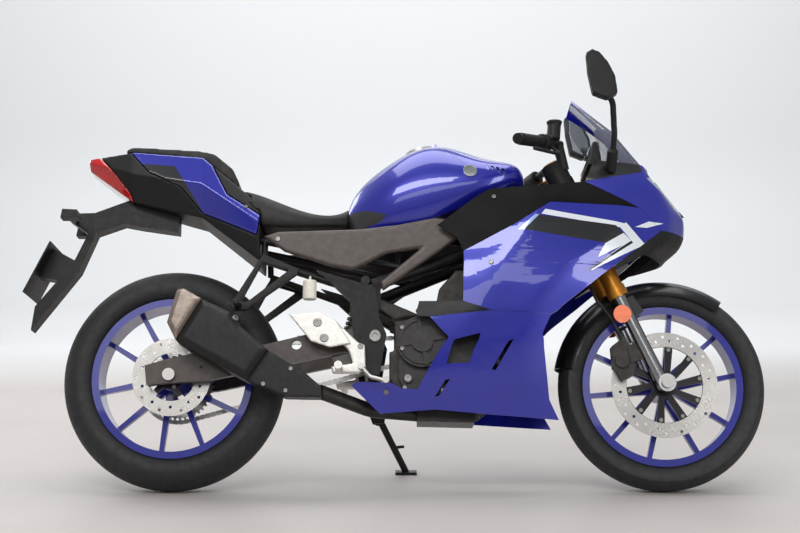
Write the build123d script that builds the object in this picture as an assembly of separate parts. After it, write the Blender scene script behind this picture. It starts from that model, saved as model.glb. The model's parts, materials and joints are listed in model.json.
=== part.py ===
# A sport motorcycle that leans on its side stand
from build123d import *
import math
import os

# Whole bike, in millimetres and degrees
# It is drawn upright, x forward from the rear axle, y to the left and z up from the ground, and then leaned
WHEELBASE = 1385
DRAWN_WHEELBASE = 1385
LEAN = 15
RAKE = 25
TRAIL = 90
SEAT_GAP = 0.3
SEAM = 0.6
PANEL_WALL = 4

# Tyres and rims
FRONT_RADIUS = 293
FRONT_WIDTH = 110
FRONT_RIM_WIDTH = 80
REAR_RADIUS = 314
REAR_WIDTH = 140
REAR_RIM_WIDTH = 108
CROWN_RADIUS = 75
BEAD_RADIUS = 216
TYRE_WALL = 9
RIM_LIP = 5
RIM_LIP_HEIGHT = 11
RIM_BARREL = 9
SPOKE_PAIRS = 5
SPOKE_DEPTH = 22
SPOKE_ROOT_WIDTH = 19
SPOKE_TIP_WIDTH = 13
SPOKE_SPREAD = 13
HUB_RADIUS = 37

# Axles, brakes and chain
AXLE_RADIUS = 10
FRONT_HUB_HALF = 58
FRONT_DISC_RADIUS = 149
FRONT_DISC_Y = -64
REAR_DISC_RADIUS = 110
REAR_DISC_Y = -72
DISC_THICKNESS = 4.5
DISC_BAND = 42
CHAIN_Y = 83
CHAIN_WIDTH = 14
CHAIN_HEIGHT = 12
CHAIN_REAR_RADIUS = 109
CHAIN_FRONT_RADIUS = 36
SPROCKET_THICKNESS = 7
COUNTERSHAFT_X = 655
COUNTERSHAFT_Z = 418

# Swingarm and pivot plates
PIVOT_X = 572
PIVOT_Z = 419
PIVOT_RADIUS = 12
ARM_INNER = 95
ARM_OUTER = 117.5
PLATE_INNER = 118
PLATE_OUTER = 138
COVER_THICKNESS = 15

# Fork
LEG_Y = 95
LEG_OFFSET = 33
LEG_RADIUS = 18.5
LUG_HALF = 20
LUG_RADIUS = 25
AXLE_HEAD = 9
OUTER_TUBE_RADIUS = 26
OUTER_TUBE_LOW = 582
TUBE_ABOVE = 88
LOWER_CLAMP = 755
CLAMP_THICKNESS = 28
HEAD_LENGTH = 139
STEM_RADIUS = 14
HEAD_RADIUS = 27
GRIP_RADIUS = 17
BAR_RADIUS = 11
CLIP_HEIGHT = 55
RISER_RADIUS = 15
FENDER_GAP = 11
FENDER_WALL = 3

# Side stand, fuel cap and licence plate
STAND_PIVOT = (578, 152, 228)
STAND_TILT = 31.5
STAND_FOOT_X = 660
STAND_FOOT_OUT = 300
STAND_EYE_RADIUS = 15
STAND_PIN_RADIUS = 5
CAP_X = 700
CAP_TOP = 994
CAP_TILT = 14
CAP_RADIUS = 42
CAP_DEPTH = 8
HINGE_AHEAD = 49
HINGE_UP = 6
HINGE_HALF = 9
HINGE_PIN = 2
BOARD_TOP = (-356, 703)
BOARD_FOOT = (-426, 555)
BOARD_HALF = 88
BOARD_WALL = 4.5
BOARD_HOLE_Y = 60
BOARD_HOLE_RADIUS = 3.5
SPOOL_RADIUS = 3
SPOOL_DEPTH = 16
SPOOL_X = 90
SPOOL_Z = 335

# Values worked out from the sizes above
# Chassis pieces are drawn for one wheelbase, and their x stretches with the wheelbase that is asked for
STRETCH = WHEELBASE / DRAWN_WHEELBASE
UPPER_CLAMP = LOWER_CLAMP + CLAMP_THICKNESS + HEAD_LENGTH
OUTER_TUBE_TOP = UPPER_CLAMP + TUBE_ABOVE
HEAD_MIDDLE = UPPER_CLAMP - HEAD_LENGTH / 2
REAR_AXLE = (0, 0, REAR_RADIUS)
FRONT_AXLE = (WHEELBASE, 0, FRONT_RADIUS)
SIN_RAKE = math.sin(math.radians(RAKE))
COS_RAKE = math.cos(math.radians(RAKE))
SIN_LEAN = math.sin(math.radians(LEAN))
COS_LEAN = math.cos(math.radians(LEAN))
LIFT = CROWN_RADIUS * (1 - COS_LEAN)
FORK = Plane(origin=(WHEELBASE + TRAIL, 0, 0), x_dir=(COS_RAKE, 0, SIN_RAKE), z_dir=(-SIN_RAKE, 0, COS_RAKE))
FRONT_AXLE_FORK = FORK.to_local_coords(Vector(*FRONT_AXLE))
CAP = Plane(
    origin=(CAP_X * STRETCH, 0, CAP_TOP),
    x_dir=(math.cos(math.radians(CAP_TILT)), 0, math.sin(math.radians(CAP_TILT))),
    z_dir=(-math.sin(math.radians(CAP_TILT)), 0, math.cos(math.radians(CAP_TILT))),
)
STAND_AXIS = Vector(0, math.cos(math.radians(STAND_TILT)), math.sin(math.radians(STAND_TILT)))
FLOOR_UP = Vector(0, -SIN_LEAN, COS_LEAN)
STAND_FOOT = Vector(
    STAND_FOOT_X * STRETCH,
    STAND_FOOT_OUT * COS_LEAN + LIFT * SIN_LEAN,
    STAND_FOOT_OUT * SIN_LEAN - LIFT * COS_LEAN,
)

nodes = {}


# Shape helpers
def side_plane(y):
    return Plane(origin=(0, y, 0), x_dir=(1, 0, 0), z_dir=(0, -1, 0))


def drawn(point, stretch=STRETCH):
    """A point that is drawn for the first wheelbase, moved to suit the one asked for."""
    x, y, z = point
    return Vector(x * stretch, y, z)


def slab(points, y_low, y_high, inset=0, stretch=STRETCH):
    """A side-view outline of (x, z) points, as a slab between two y values. A stretch of 1 keeps x as given."""
    outline = Polygon(*[(x * stretch, z) for x, z in points], align=None)
    if inset:
        outline = offset(outline, amount=-inset, kind=Kind.INTERSECTION)
    return extrude(side_plane(y_high) * outline, amount=y_high - y_low, dir=(0, -1, 0))


def rod(start, end, radius, stretch=STRETCH):
    low = drawn(start, stretch)
    axis = drawn(end, stretch) - low
    return extrude(Plane(origin=low, z_dir=axis) * Circle(radius), amount=axis.length)


def bent_rod(points, radius, bend, stretch=STRETCH):
    path = FilletPolyline(*[drawn(point, stretch) for point in points], radius=bend)
    return sweep(Plane(origin=path @ 0, z_dir=path % 0) * Circle(radius), path=path)


def y_rod(x, z, y_low, y_high, radius, stretch=STRETCH):
    return rod((x, y_low, z), (x, y_high, z), radius, stretch)


def block(x, y, z):
    """A box from three (low, high) pairs."""
    low = drawn((x[0], y[0], z[0]))
    size = drawn((x[1], y[1], z[1])) - low
    return Pos(low) * Box(*size, align=(Align.MIN, Align.MIN, Align.MIN))


def side_edges(solid, y):
    """The edges of a solid that lie in one upright plane along the bike."""
    return solid.edges().filter_by_position(Axis.Y, y - 0.01, y + 0.01)


def mirrored(shape):
    return mirror(shape, about=Plane.XZ)


def both(shape):
    return shape + mirrored(shape)


def fork_point(forward, left, up):
    return FORK.from_local_coords(Vector(forward, left, up))


# Wheels, turned about their own axle and then moved to it
def tyre_solid(radius, width, rim_width):
    half = width / 2
    shoulder = radius - CROWN_RADIUS + math.sqrt(CROWN_RADIUS**2 - half**2)
    bead = BEAD_RADIUS + SEAT_GAP
    bead_half = rim_width / 2 - RIM_LIP - SEAT_GAP
    lip = BEAD_RADIUS + RIM_LIP_HEIGHT + 1
    flank = (shoulder + lip) / 2
    inner_half = half - TYRE_WALL
    inner_shoulder = shoulder - TYRE_WALL / 2
    outline = [
        ThreePointArc((shoulder, -half), (radius, 0), (shoulder, half)),
        ThreePointArc((shoulder, half), (flank, half - 1), (lip, bead_half)),
        Line((lip, bead_half), (bead, bead_half)),
        Line((bead, bead_half), (bead, bead_half - TYRE_WALL)),
        Line((bead, bead_half - TYRE_WALL), (inner_shoulder, inner_half)),
        ThreePointArc((inner_shoulder, inner_half), (radius - TYRE_WALL, 0), (inner_shoulder, -inner_half)),
        Line((inner_shoulder, -inner_half), (bead, TYRE_WALL - bead_half)),
        Line((bead, TYRE_WALL - bead_half), (bead, -bead_half)),
        Line((bead, -bead_half), (lip, -bead_half)),
        ThreePointArc((lip, -bead_half), (flank, 1 - half), (shoulder, -half)),
    ]
    return revolve(make_face(outline), Axis.Y)


def polar(radius, angle):
    return (radius * math.cos(math.radians(angle)), radius * math.sin(math.radians(angle)))


def spoke(angle, lean):
    """One arm of a forked spoke, from the hub to the barrel of the rim."""
    root = polar(HUB_RADIUS - 6, angle)
    tip = polar(BEAD_RADIUS - RIM_BARREL / 2, angle + lean)
    run = math.degrees(math.atan2(tip[1] - root[1], tip[0] - root[0]))
    across = polar(1, run + 90)
    corners = [(root, SPOKE_ROOT_WIDTH / 2), (tip, SPOKE_TIP_WIDTH / 2), (tip, -SPOKE_TIP_WIDTH / 2)]
    corners.append((root, -SPOKE_ROOT_WIDTH / 2))
    points = [(p[0] + across[0] * s, p[1] + across[1] * s) for p, s in corners]
    return slab(points, -SPOKE_DEPTH / 2, SPOKE_DEPTH / 2, stretch=1)


def rim_solid(rim_width, hub_low, hub_high, start_angle):
    half = rim_width / 2
    inner = BEAD_RADIUS - RIM_BARREL
    lip = BEAD_RADIUS + RIM_LIP_HEIGHT
    section = Polygon(
        (inner, -half),
        (lip, -half),
        (lip, -half + RIM_LIP),
        (BEAD_RADIUS, -half + RIM_LIP),
        (BEAD_RADIUS, half - RIM_LIP),
        (lip, half - RIM_LIP),
        (lip, half),
        (inner, half),
        align=None,
    )
    body = revolve(section, Axis.Y) + y_rod(0, 0, hub_low, hub_high, HUB_RADIUS)
    for pair in range(SPOKE_PAIRS):
        angle = start_angle + pair * 360 / SPOKE_PAIRS
        body += spoke(angle + SPOKE_SPREAD / 2, SPOKE_SPREAD) + spoke(angle - SPOKE_SPREAD / 2, -SPOKE_SPREAD)
    return body - y_rod(0, 0, hub_low - 1, hub_high + 1, AXLE_RADIUS + SEAT_GAP)


# Share of the band from its rim, and share of the way to the next arm
DISC_HOLES = [(0.25, 0.0), (0.55, 0.25), (0.3, 0.5), (0.6, 0.75)]
DISC_HOLE_RADIUS = 4.5


def disc_solid(radius, y, arms):
    low = y - DISC_THICKNESS / 2
    high = y + DISC_THICKNESS / 2
    band = y_rod(0, 0, low, high, radius) - y_rod(0, 0, low - 1, high + 1, radius - DISC_BAND)
    centre = y_rod(0, 0, low, high, HUB_RADIUS - 2)
    for arm in range(arms):
        angle = arm * 360 / arms
        ends = [polar(HUB_RADIUS - 8, angle - 16), polar(radius - DISC_BAND + 6, angle + 4)]
        ends += [polar(radius - DISC_BAND + 6, angle + 16), polar(HUB_RADIUS - 8, angle + 16)]
        centre += slab(ends, low, high, stretch=1)
        for share, turn in DISC_HOLES:
            x, z = polar(radius - DISC_BAND * share, angle + turn * 360 / arms)
            band -= y_rod(x, z, low - 1, high + 1, DISC_HOLE_RADIUS, stretch=1)
    return band + centre - y_rod(0, 0, low - 1, high + 1, AXLE_RADIUS + 6)


front_at = Pos(*FRONT_AXLE)
rear_at = Pos(*REAR_AXLE)
rear_hub_left = CHAIN_Y - SPROCKET_THICKNESS / 2 - SEAT_GAP
nodes["front_tyre"] = front_at * tyre_solid(FRONT_RADIUS, FRONT_WIDTH, FRONT_RIM_WIDTH)
nodes["rear_tyre"] = rear_at * tyre_solid(REAR_RADIUS, REAR_WIDTH, REAR_RIM_WIDTH)
front_hub_right = FRONT_DISC_Y + DISC_THICKNESS / 2 + SEAT_GAP
nodes["front_rim"] = front_at * rim_solid(FRONT_RIM_WIDTH, front_hub_right, FRONT_HUB_HALF, 62)
rear_hub_right = REAR_DISC_Y + DISC_THICKNESS / 2 + SEAT_GAP
nodes["rear_rim"] = rear_at * rim_solid(REAR_RIM_WIDTH, rear_hub_right, rear_hub_left, 26)
nodes["front_disc"] = front_at * disc_solid(FRONT_DISC_RADIUS, FRONT_DISC_Y, 10)
nodes["rear_disc"] = rear_at * disc_solid(REAR_DISC_RADIUS, REAR_DISC_Y, 5)
sprocket_tip = CHAIN_REAR_RADIUS - CHAIN_HEIGHT / 2 - SEAT_GAP
TEETH = 43
TOOTH_HEIGHT = 7
teeth = []
for tooth in range(TEETH):
    for share, drop in ((0.0, TOOTH_HEIGHT), (0.3, TOOTH_HEIGHT), (0.52, 0), (0.78, 0)):
        teeth.append(polar(sprocket_tip - drop, (tooth + share) * 360 / TEETH))
sprocket = slab(teeth, CHAIN_Y - SPROCKET_THICKNESS / 2, CHAIN_Y + SPROCKET_THICKNESS / 2, stretch=1)
sprocket -= y_rod(0, 0, 0, 2 * CHAIN_Y, AXLE_RADIUS + 6)
SPROCKET_HOLES = 6
for hole in range(SPROCKET_HOLES):
    x, z = polar(sprocket_tip * 0.62, hole * 360 / SPROCKET_HOLES)
    sprocket -= y_rod(x, z, 0, 2 * CHAIN_Y, 19, stretch=1)
nodes["rear_sprocket"] = rear_at * sprocket

# Chain, a closed loop round both sprockets
def chain_face(grow):
    rear = Pos(REAR_AXLE[0], REAR_AXLE[2]) * Circle(CHAIN_REAR_RADIUS + grow)
    front = Pos(COUNTERSHAFT_X * STRETCH, COUNTERSHAFT_Z) * Circle(CHAIN_FRONT_RADIUS + grow)
    return make_hull(rear.edges() + front.edges())


CHAIN_PITCH = 15.875
NOTCH_DEPTH = 3.5
outer_run = chain_face(CHAIN_HEIGHT / 2).face().outer_wire()
inner_run = chain_face(-CHAIN_HEIGHT / 2).face().outer_wire()
middle_run = chain_face(0).face().outer_wire()
loop = make_face(outer_run) - make_face(inner_run)
links = round(middle_run.length / CHAIN_PITCH)
notches = []
for link in range(links):
    spot = middle_run.position_at(link / links)
    along = middle_run.tangent_at(link / links)
    turn = math.degrees(math.atan2(along.Y, along.X))
    for side in (-1, 1):
        edge = side * CHAIN_HEIGHT
        notch = Polygon((-4, edge), (4, edge), (0, edge / 2 - side * NOTCH_DEPTH), align=None)
        notches.append(Pos(spot.X, spot.Y) * Rot(0, 0, turn) * notch)
loop -= notches
nodes["drive_chain"] = extrude(side_plane(CHAIN_Y + CHAIN_WIDTH / 2) * loop, amount=CHAIN_WIDTH, dir=(0, -1, 0))

# Axles with their spacers
rear_axle = y_rod(0, 0, -ARM_OUTER - 12, ARM_OUTER + 12, AXLE_RADIUS)
for low, high in ((-ARM_OUTER - 12, -ARM_OUTER - SEAT_GAP), (ARM_OUTER + SEAT_GAP, ARM_OUTER + 12)):
    rear_axle += y_rod(0, 0, low, high, AXLE_RADIUS + 7)
rear_axle += y_rod(0, 0, -ARM_INNER + SEAT_GAP, REAR_DISC_Y - DISC_THICKNESS, AXLE_RADIUS + 5)
rear_axle += y_rod(0, 0, CHAIN_Y + SPROCKET_THICKNESS, ARM_INNER - SEAT_GAP, AXLE_RADIUS + 5)
nodes["rear_axle"] = rear_at * rear_axle
lug_in = LEG_Y - LUG_HALF - SEAT_GAP
lug_out = LEG_Y + LUG_HALF + SEAT_GAP
front_axle = y_rod(0, 0, -lug_out - AXLE_HEAD, lug_out, AXLE_RADIUS)
front_axle += y_rod(0, 0, -lug_out - AXLE_HEAD, -lug_out, AXLE_RADIUS + 6)
front_axle += y_rod(0, 0, -lug_in, FRONT_DISC_Y - DISC_THICKNESS, AXLE_RADIUS + 5)
front_axle += y_rod(0, 0, FRONT_HUB_HALF + 2, lug_in, AXLE_RADIUS + 5)
nodes["front_axle"] = front_at * front_axle

# Swingarm, with threaded spool holes near the axle
arm_outline = [
    (-69, 340), (-62, 286), (110, 298), (560, 392), (598, 419), (572, 449), (400, 432), (137, 368), (66, 374), (0, 360),
]
arm = slab(arm_outline, ARM_INNER, ARM_OUTER)
arm -= y_rod(0, REAR_RADIUS, 0, 2 * ARM_OUTER, AXLE_RADIUS + SEAT_GAP)
arm -= y_rod(SPOOL_X, SPOOL_Z, ARM_OUTER - SPOOL_DEPTH, ARM_OUTER + 1, SPOOL_RADIUS)
arm -= y_rod(353, 399, 0, 2 * ARM_OUTER, 14)
cross = slab([(452, 406), (520, 422), (520, 384), (452, 366)], -ARM_INNER, ARM_INNER)
pivot_tube = y_rod(PIVOT_X, PIVOT_Z, -ARM_OUTER, ARM_OUTER, PIVOT_RADIUS + 8)
web = slab([(500, 417), (565, 430), (565, 406), (500, 380)], -ARM_INNER, ARM_INNER - 30)
swingarm = both(arm) + cross + pivot_tube + web
nodes["swingarm"] = swingarm - y_rod(PIVOT_X, PIVOT_Z, -PLATE_OUTER, PLATE_OUTER, PIVOT_RADIUS + SEAT_GAP)

# Front fairing, one form whose plan is given at some heights
# height, then x and half width at the rear, middle, front quarter and front, x on the centre line, open in front
FAIRING_LEVELS = [
    (185, 495, 100, 800, 128, 1000, 122, 1090, 112, 1090, True),
    (300, 495, 140, 800, 180, 980, 172, 1075, 150, 1075, True),
    (400, 495, 160, 800, 204, 980, 200, 1060, 182, 1060, True),
    (480, 660, 188, 860, 220, 1000, 218, 1075, 200, 1075, True),
    (560, 700, 190, 900, 229, 1060, 224, 1185, 196, 1185, True),
    (610, 720, 186, 920, 231, 1100, 220, 1262, 182, 1262, True),
    (650, 735, 180, 950, 231, 1180, 210, 1330, 152, 1400, False),
    (690, 735, 176, 980, 231, 1220, 196, 1390, 112, 1458, False),
    (727, 735, 174, 1000, 230, 1250, 184, 1410, 96, 1478, False),
    (790, 735, 172, 1050, 222, 1270, 164, 1420, 76, 1482, False),
    (860, 735, 170, 1060, 186, 1260, 144, 1388, 90, 1425, False),
    (930, 735, 168, 1060, 150, 1230, 126, 1344, 84, 1370, False),
]
FAIRING_TOP = FAIRING_LEVELS[-1][0]
OPEN_REACH = 80
END_REACH = 10


def fairing_form(grow):
    """The right half of the form, larger or smaller all round by one amount."""
    sections = []
    last = len(FAIRING_LEVELS) - 1
    for index, level in enumerate(FAIRING_LEVELS):
        height, x_rear, w_rear, x_mid, w_mid, x_quarter, w_quarter, x_front, w_front, x_centre, is_open = level
        if grow < 0:
            w_rear -= (w_mid - w_rear) * OPEN_REACH / (x_mid - x_rear)
            x_rear -= OPEN_REACH
        if grow < 0 and is_open:
            w_front -= (w_quarter - w_front) * OPEN_REACH / (x_front - x_quarter)
            x_front += OPEN_REACH
            x_centre += OPEN_REACH
        if grow and index in (0, last):
            height += (grow if grow > 0 else END_REACH) * (-1 if index == 0 else 1)
        section = Polygon(
            (x_rear * STRETCH, 0),
            (x_rear * STRETCH, -w_rear - grow),
            (x_mid * STRETCH, -w_mid - grow),
            (x_quarter * STRETCH, -w_quarter - grow),
            (x_front * STRETCH, -w_front - grow),
            (x_centre * STRETCH + grow, 0),
            align=None,
        )
        sections.append(Plane(origin=(0, 0, height)) * section)
    return loft(sections, ruled=True)


form = fairing_form(0)
form_inside = fairing_form(-PANEL_WALL)
form_seat = fairing_form(-PANEL_WALL - SEAT_GAP)
form_outside = fairing_form(SEAT_GAP)
shell = form - form_inside


def panel(points):
    return shell & slab(points, -400, 0, inset=SEAM / 2)


fairing_outline = [
    (819, 648), (960, 720), (1062, 785), (1323, 789), (1386, 728), (1334, 684), (1232, 606), (1172, 558),
    (1057, 469), (893, 477), (815, 504),
]
scoop_outline = [
    (746, 728), (865, 814), (894, 831), (1049, 840), (1165, 858), (1262, 813), (1323, 789), (1062, 785),
    (960, 720), (819, 648), (800, 690),
]
nose_outline = [
    (1165, 858), (1200, 940), (1400, 940), (1530, 790), (1520, 735), (1386, 728), (1323, 789), (1262, 813),
]
lamp_outline = [(1352, 888), (1366, 893), (1450, 893), (1530, 830), (1484, 800), (1470, 790)]
LAMP_INNER = 24
duct_outline = [
    (1386, 728), (1520, 735), (1500, 690), (1452, 676), (1339, 620), (1262, 588), (1232, 606), (1334, 684),
]
pan_outline = [
    (724, 463), (893, 477), (1057, 469), (1034, 418), (1054, 241), (1082, 187), (860, 203), (739, 214), (586, 205),
    (506, 281), (523, 291), (615, 287), (645, 272), (690, 268), (708, 302), (772, 408),
]
trim_outline = [(690, 466), (694, 508), (815, 504), (893, 477), (724, 463)]
LEFT_PAN_CUT = 690
SCREEN_SETBACK = 8
SCREEN_BASE_RADIUS = 110.5
SCREEN_WRAP = 13.5
SCREEN_LIP = 10
SCREEN_WALL = 3
nodes["side_fairings"] = both(panel(fairing_outline))
nodes["scoop_panels"] = both(panel(scoop_outline))
lip = form & block((1200, 1400), (-200, 0), (FAIRING_TOP - PANEL_WALL, FAIRING_TOP))
screen_front = FAIRING_LEVELS[-1][9] * STRETCH - SCREEN_SETBACK
screen_centre = screen_front - SCREEN_BASE_RADIUS
opening = SCREEN_BASE_RADIUS - SCREEN_LIP
lip -= Pos(screen_centre, 0, FAIRING_TOP) * Cylinder(opening, 60)
lip -= Pos(screen_centre - opening, 0, FAIRING_TOP) * Box(2 * opening, 2 * opening, 60)
lamp_hole = slab(lamp_outline, -400, SEAM - LAMP_INNER, inset=-SEAM / 2)
nodes["nose_cowl"] = both(panel(nose_outline) + lip - lamp_hole)
nodes["headlamps"] = both(panel(lamp_outline) & block((1300, 1560), (-400, -LAMP_INNER), (700, 1000)))
nodes["nose_duct"] = both(panel(duct_outline))
# Openings in the pan: the window in front of the clutch cover, and two slots
PAN_OPENINGS = [
    [(788, 399), (862, 416), (831, 337), (769, 334)],
    [(953, 400), (940, 397), (893, 319), (904, 317)],
    [(780, 294), (766, 291), (738, 248), (749, 250)],
]
pan = panel(pan_outline)
for points in PAN_OPENINGS:
    pan -= slab(points, -400, 0)
left_pan = mirrored(pan) - block((400, LEFT_PAN_CUT), (0, 300), (150, 420))
nodes["belly_pan"] = pan + left_pan
nodes["fairing_trim"] = both(panel(trim_outline))

# Tank, seats and tail, lofted from a few cross sections
def cross_plane(x):
    return Plane(origin=(x * STRETCH, 0, 0), x_dir=(0, 1, 0), z_dir=(1, 0, 0))


def rounded_section(x, base, z_base, wide, z_wide, shoulder, z_shoulder, z_top):
    edges = [
        Line((-base, z_base), (base, z_base)),
        ThreePointArc((base, z_base), (wide, z_wide), (shoulder, z_shoulder)),
        ThreePointArc((shoulder, z_shoulder), (0, z_top), (-shoulder, z_shoulder)),
        ThreePointArc((-shoulder, z_shoulder), (-wide, z_wide), (-base, z_base)),
    ]
    return cross_plane(x) * make_face(edges)


# x, half base, base height, half width, its height, half shoulder, its height, top height
TANK_SECTIONS = [
    (494, 62, 752, 70, 775, 52, 800, 816),
    (560, 100, 722, 116, 800, 84, 880, 912),
    (640, 122, 736, 148, 830, 104, 936, 968),
    (700, 132, 750, 158, 850, 108, 965, 994),
    (760, 135, 768, 161, 866, 108, 972, 1001),
    (850, 134, 806, 156, 885, 106, 950, 978),
    (930, 124, 846, 142, 895, 98, 934, 957),
    (1000, 70, 856, 80, 872, 56, 884, 890),
]
tank_form = loft([rounded_section(*row) for row in TANK_SECTIONS])
cover_outline = [(775, 1040), (765, 985), (795, 940), (842, 905), (905, 897), (1010, 850), (1010, 1040)]
tank_cover = tank_form & slab(cover_outline, -200, 200, inset=SEAM / 2)
SLOTS = 4
SLOT_STEP = (15, -3)
SLOT_FLOOR = 138
FLOOR_STEP = 6
for slot in range(SLOTS):
    x = 885 + SLOT_STEP[0] * slot
    z = 914 + SLOT_STEP[1] * slot
    vent = slab([(x, z), (x + 8, z), (x + 19, z - 30), (x + 11, z - 32)], -200, FLOOR_STEP * slot - SLOT_FLOOR)
    tank_cover -= vent
    tank_cover -= mirrored(vent)
nodes["tank_cover"] = tank_cover
tank = tank_form - slab(cover_outline, -200, 200, inset=-SEAM / 2)
recess = CAP * rod((0, 0, -CAP_DEPTH), (0, 0, 60), CAP_RADIUS + 2)
tank -= recess
ear_rear = HINGE_AHEAD - 4
ear_outline = [(ear_rear, -14), (ear_rear, HINGE_UP), (HINGE_AHEAD + 4, HINGE_UP), (HINGE_AHEAD + 8, -14)]
ear = slab(ear_outline, HINGE_HALF + SEAT_GAP, HINGE_HALF + 5, stretch=1)
ear += y_rod(HINGE_AHEAD, HINGE_UP, HINGE_HALF + SEAT_GAP, HINGE_HALF + 5, 4, stretch=1)
ear += y_rod(HINGE_AHEAD, HINGE_UP, 0, HINGE_HALF + 5, HINGE_PIN, stretch=1)
nodes["fuel_tank"] = tank + CAP * both(ear)
cap_low = SEAT_GAP - CAP_DEPTH
cap = rod((0, 0, cap_low), (0, 0, 3), CAP_RADIUS) + rod((0, 0, 2), (0, 0, 6), CAP_RADIUS - 9)
tongue = CAP_RADIUS - 8
tongue_outline = [(tongue, -2), (tongue, 3), (HINGE_AHEAD, HINGE_UP + 3), (HINGE_AHEAD, HINGE_UP - 3)]
cap += slab(tongue_outline, -HINGE_HALF, HINGE_HALF, stretch=1)
cap += y_rod(HINGE_AHEAD, HINGE_UP, -HINGE_HALF, HINGE_HALF, 4.5, stretch=1)
nodes["fuel_cap"] = CAP * (cap - y_rod(HINGE_AHEAD, HINGE_UP, -50, 50, HINGE_PIN + SEAT_GAP, stretch=1))

SEAT_SECTIONS = [
    (182, 118, 765, 126, 800, 105, 848, 858),
    (265, 126, 740, 132, 775, 110, 824, 836),
    (400, 112, 738, 118, 758, 96, 780, 790),
    (494 - SEAT_GAP, 66, 748, 74, 772, 56, 800, 815),
]
seat_form = loft([rounded_section(*row) for row in SEAT_SECTIONS])

# x, half base, base height, half width, its height, half top, top height
TAIL_SECTIONS = [
    (-262, 35, 925, 56, 945, 46, 958),
    (-130, 60, 826, 100, 900, 86, 968),
    (75, 86, 772, 130, 862, 106, 946),
    (245, 112, 640, 142, 748, 118, 802),
]


def tail_section(x, base, z_base, side, z_side, top, z_top):
    right = [(-base, z_base), (-side, z_side), (-top, z_top)]
    left = [(-y, z) for y, z in reversed(right)]
    return cross_plane(x) * Polygon(*right, *left, align=None)


tail_form = loft([tail_section(*row) for row in TAIL_SECTIONS], ruled=True)
nodes["rider_seat"] = seat_form - Pos(0, 0, SEAT_GAP) * tail_form
pillion_outline = [
    (-155, 922), (-152, 978), (-132, 987), (60, 976), (105, 966), (158, 922), (178, 880), (178, 862), (60, 892),
]
PILLION_HALF = 78
pillion = slab(pillion_outline, -PILLION_HALF, PILLION_HALF)
nodes["pillion_seat"] = pillion - Pos(0, 0, SEAT_GAP) * tail_form - Pos(0, 0, SEAT_GAP) * seat_form
cowl_outline = [
    (-165, 1000), (85, 1000), (106, 915), (150, 830), (246, 768), (236, 712), (80, 783), (15, 858), (-80, 903),
]
lamp_tail_outline = [(-300, 935), (-243, 975), (-180, 905), (-136, 850), (-126, 812), (-160, 826), (-192, 854)]
COWL_INNER = 60
cowl_cut = slab(cowl_outline, -200, -COWL_INNER, inset=SEAM / 2)
nodes["tail_cowls"] = both(tail_form & cowl_cut)
nodes["tail_light"] = tail_form & slab(lamp_tail_outline, -200, 200, inset=SEAM / 2)
underside = tail_form - both(slab(cowl_outline, -200, -COWL_INNER + SEAM, inset=-SEAM / 2))
nodes["tail_underside"] = underside - slab(lamp_tail_outline, -200, 200, inset=-SEAM / 2)

# Rear fender arm with the plate
ARM_HALF = 28
fender_outline = [
    (-118, 850), (-245, 802), (-318, 800), (-322, 784), (-262, 740), (-300, 655), (-405, 525), (-413, 456),
    (-284, 628), (-238, 742), (-160, 770), (-108, 760), (0, 744), (0, 800),
]
fender = slab(fender_outline, -ARM_HALF, ARM_HALF)
board_stay = slab([(-296, 660), (-358, 694), (-398, 612), (-330, 600)], -ARM_HALF, ARM_HALF)
board_top = drawn((BOARD_TOP[0], 0, BOARD_TOP[1]))
board_foot = drawn((BOARD_FOOT[0], 0, BOARD_FOOT[1]))
board_run = board_top - board_foot
BOARD = Plane(
    origin=(board_top + board_foot) * 0.5,
    x_dir=(0, 1, 0),
    z_dir=board_run.cross(Vector(0, 1, 0)),
)
board = Box(2 * BOARD_HALF, board_run.length, BOARD_WALL)
for y in (-BOARD_HOLE_Y, BOARD_HOLE_Y):
    board -= Pos(y, 0, 0) * Cylinder(BOARD_HOLE_RADIUS, 4 * BOARD_WALL)
board = BOARD * board
nodes["rear_fender"] = fender + board_stay + board - Pos(0, 0, -SEAT_GAP) * tail_form
indicator = y_rod(-296, 775, -ARM_HALF - 62, -ARM_HALF - SEAT_GAP, 6)
indicator += slab([(-322, 762), (-270, 762), (-276, 786), (-318, 788)], -ARM_HALF - 100, -ARM_HALF - 60)
nodes["rear_indicators"] = both(indicator)

# Frame, with head tube, spars, pivot plates, rails and stays
spar_start = fork_point(-10, 26, HEAD_MIDDLE)
spar_end = drawn((562, 124, 566))
spar_run = spar_end - spar_start
SPAR_RADIUS = 18
plate_outline = [
    (407, 608), (555, 564), (590, 578), (582, 477), (604, 426), (585, 311), (523, 316), (511, 432), (501, 520),
]
lug_outline = [(535, 330), (588, 330), (604, 250), (596, 208), (562, 205), (545, 250)]
head = FORK * Pos(0, 0, LOWER_CLAMP + CLAMP_THICKNESS + SEAT_GAP) * Cylinder(
    HEAD_RADIUS, UPPER_CLAMP - LOWER_CLAMP - CLAMP_THICKNESS - 2 * SEAT_GAP,
    align=(Align.CENTER, Align.CENTER, Align.MIN),
)
frame = head + both(rod(spar_start, spar_end, SPAR_RADIUS, stretch=1))
frame += both(slab(plate_outline, PLATE_INNER, PLATE_OUTER))
for x, z, radius in ((545, 578, 13), (552, 330, 12), (PIVOT_X, PIVOT_Z, PIVOT_RADIUS)):
    frame += y_rod(x, z, -PLATE_OUTER, PLATE_OUTER, radius)
frame += both(rod(spar_start + spar_run * 0.764, drawn((233, 84, 708)), 11, stretch=1))
frame += both(rod((486, 128, 560), (258, 112, 640), 10))
frame += both(rod((258, 112, 640), (258, 85, 704), 9))
frame -= block((100, 245 + SEAT_GAP), (-200, 200), (600, 800))
STAY_RADIUS = 9
stay_low = fork_point(15, 0, HEAD_MIDDLE)
stay_high = drawn((1500, 0, 806))
side_start = spar_start + spar_run * 0.368
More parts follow.
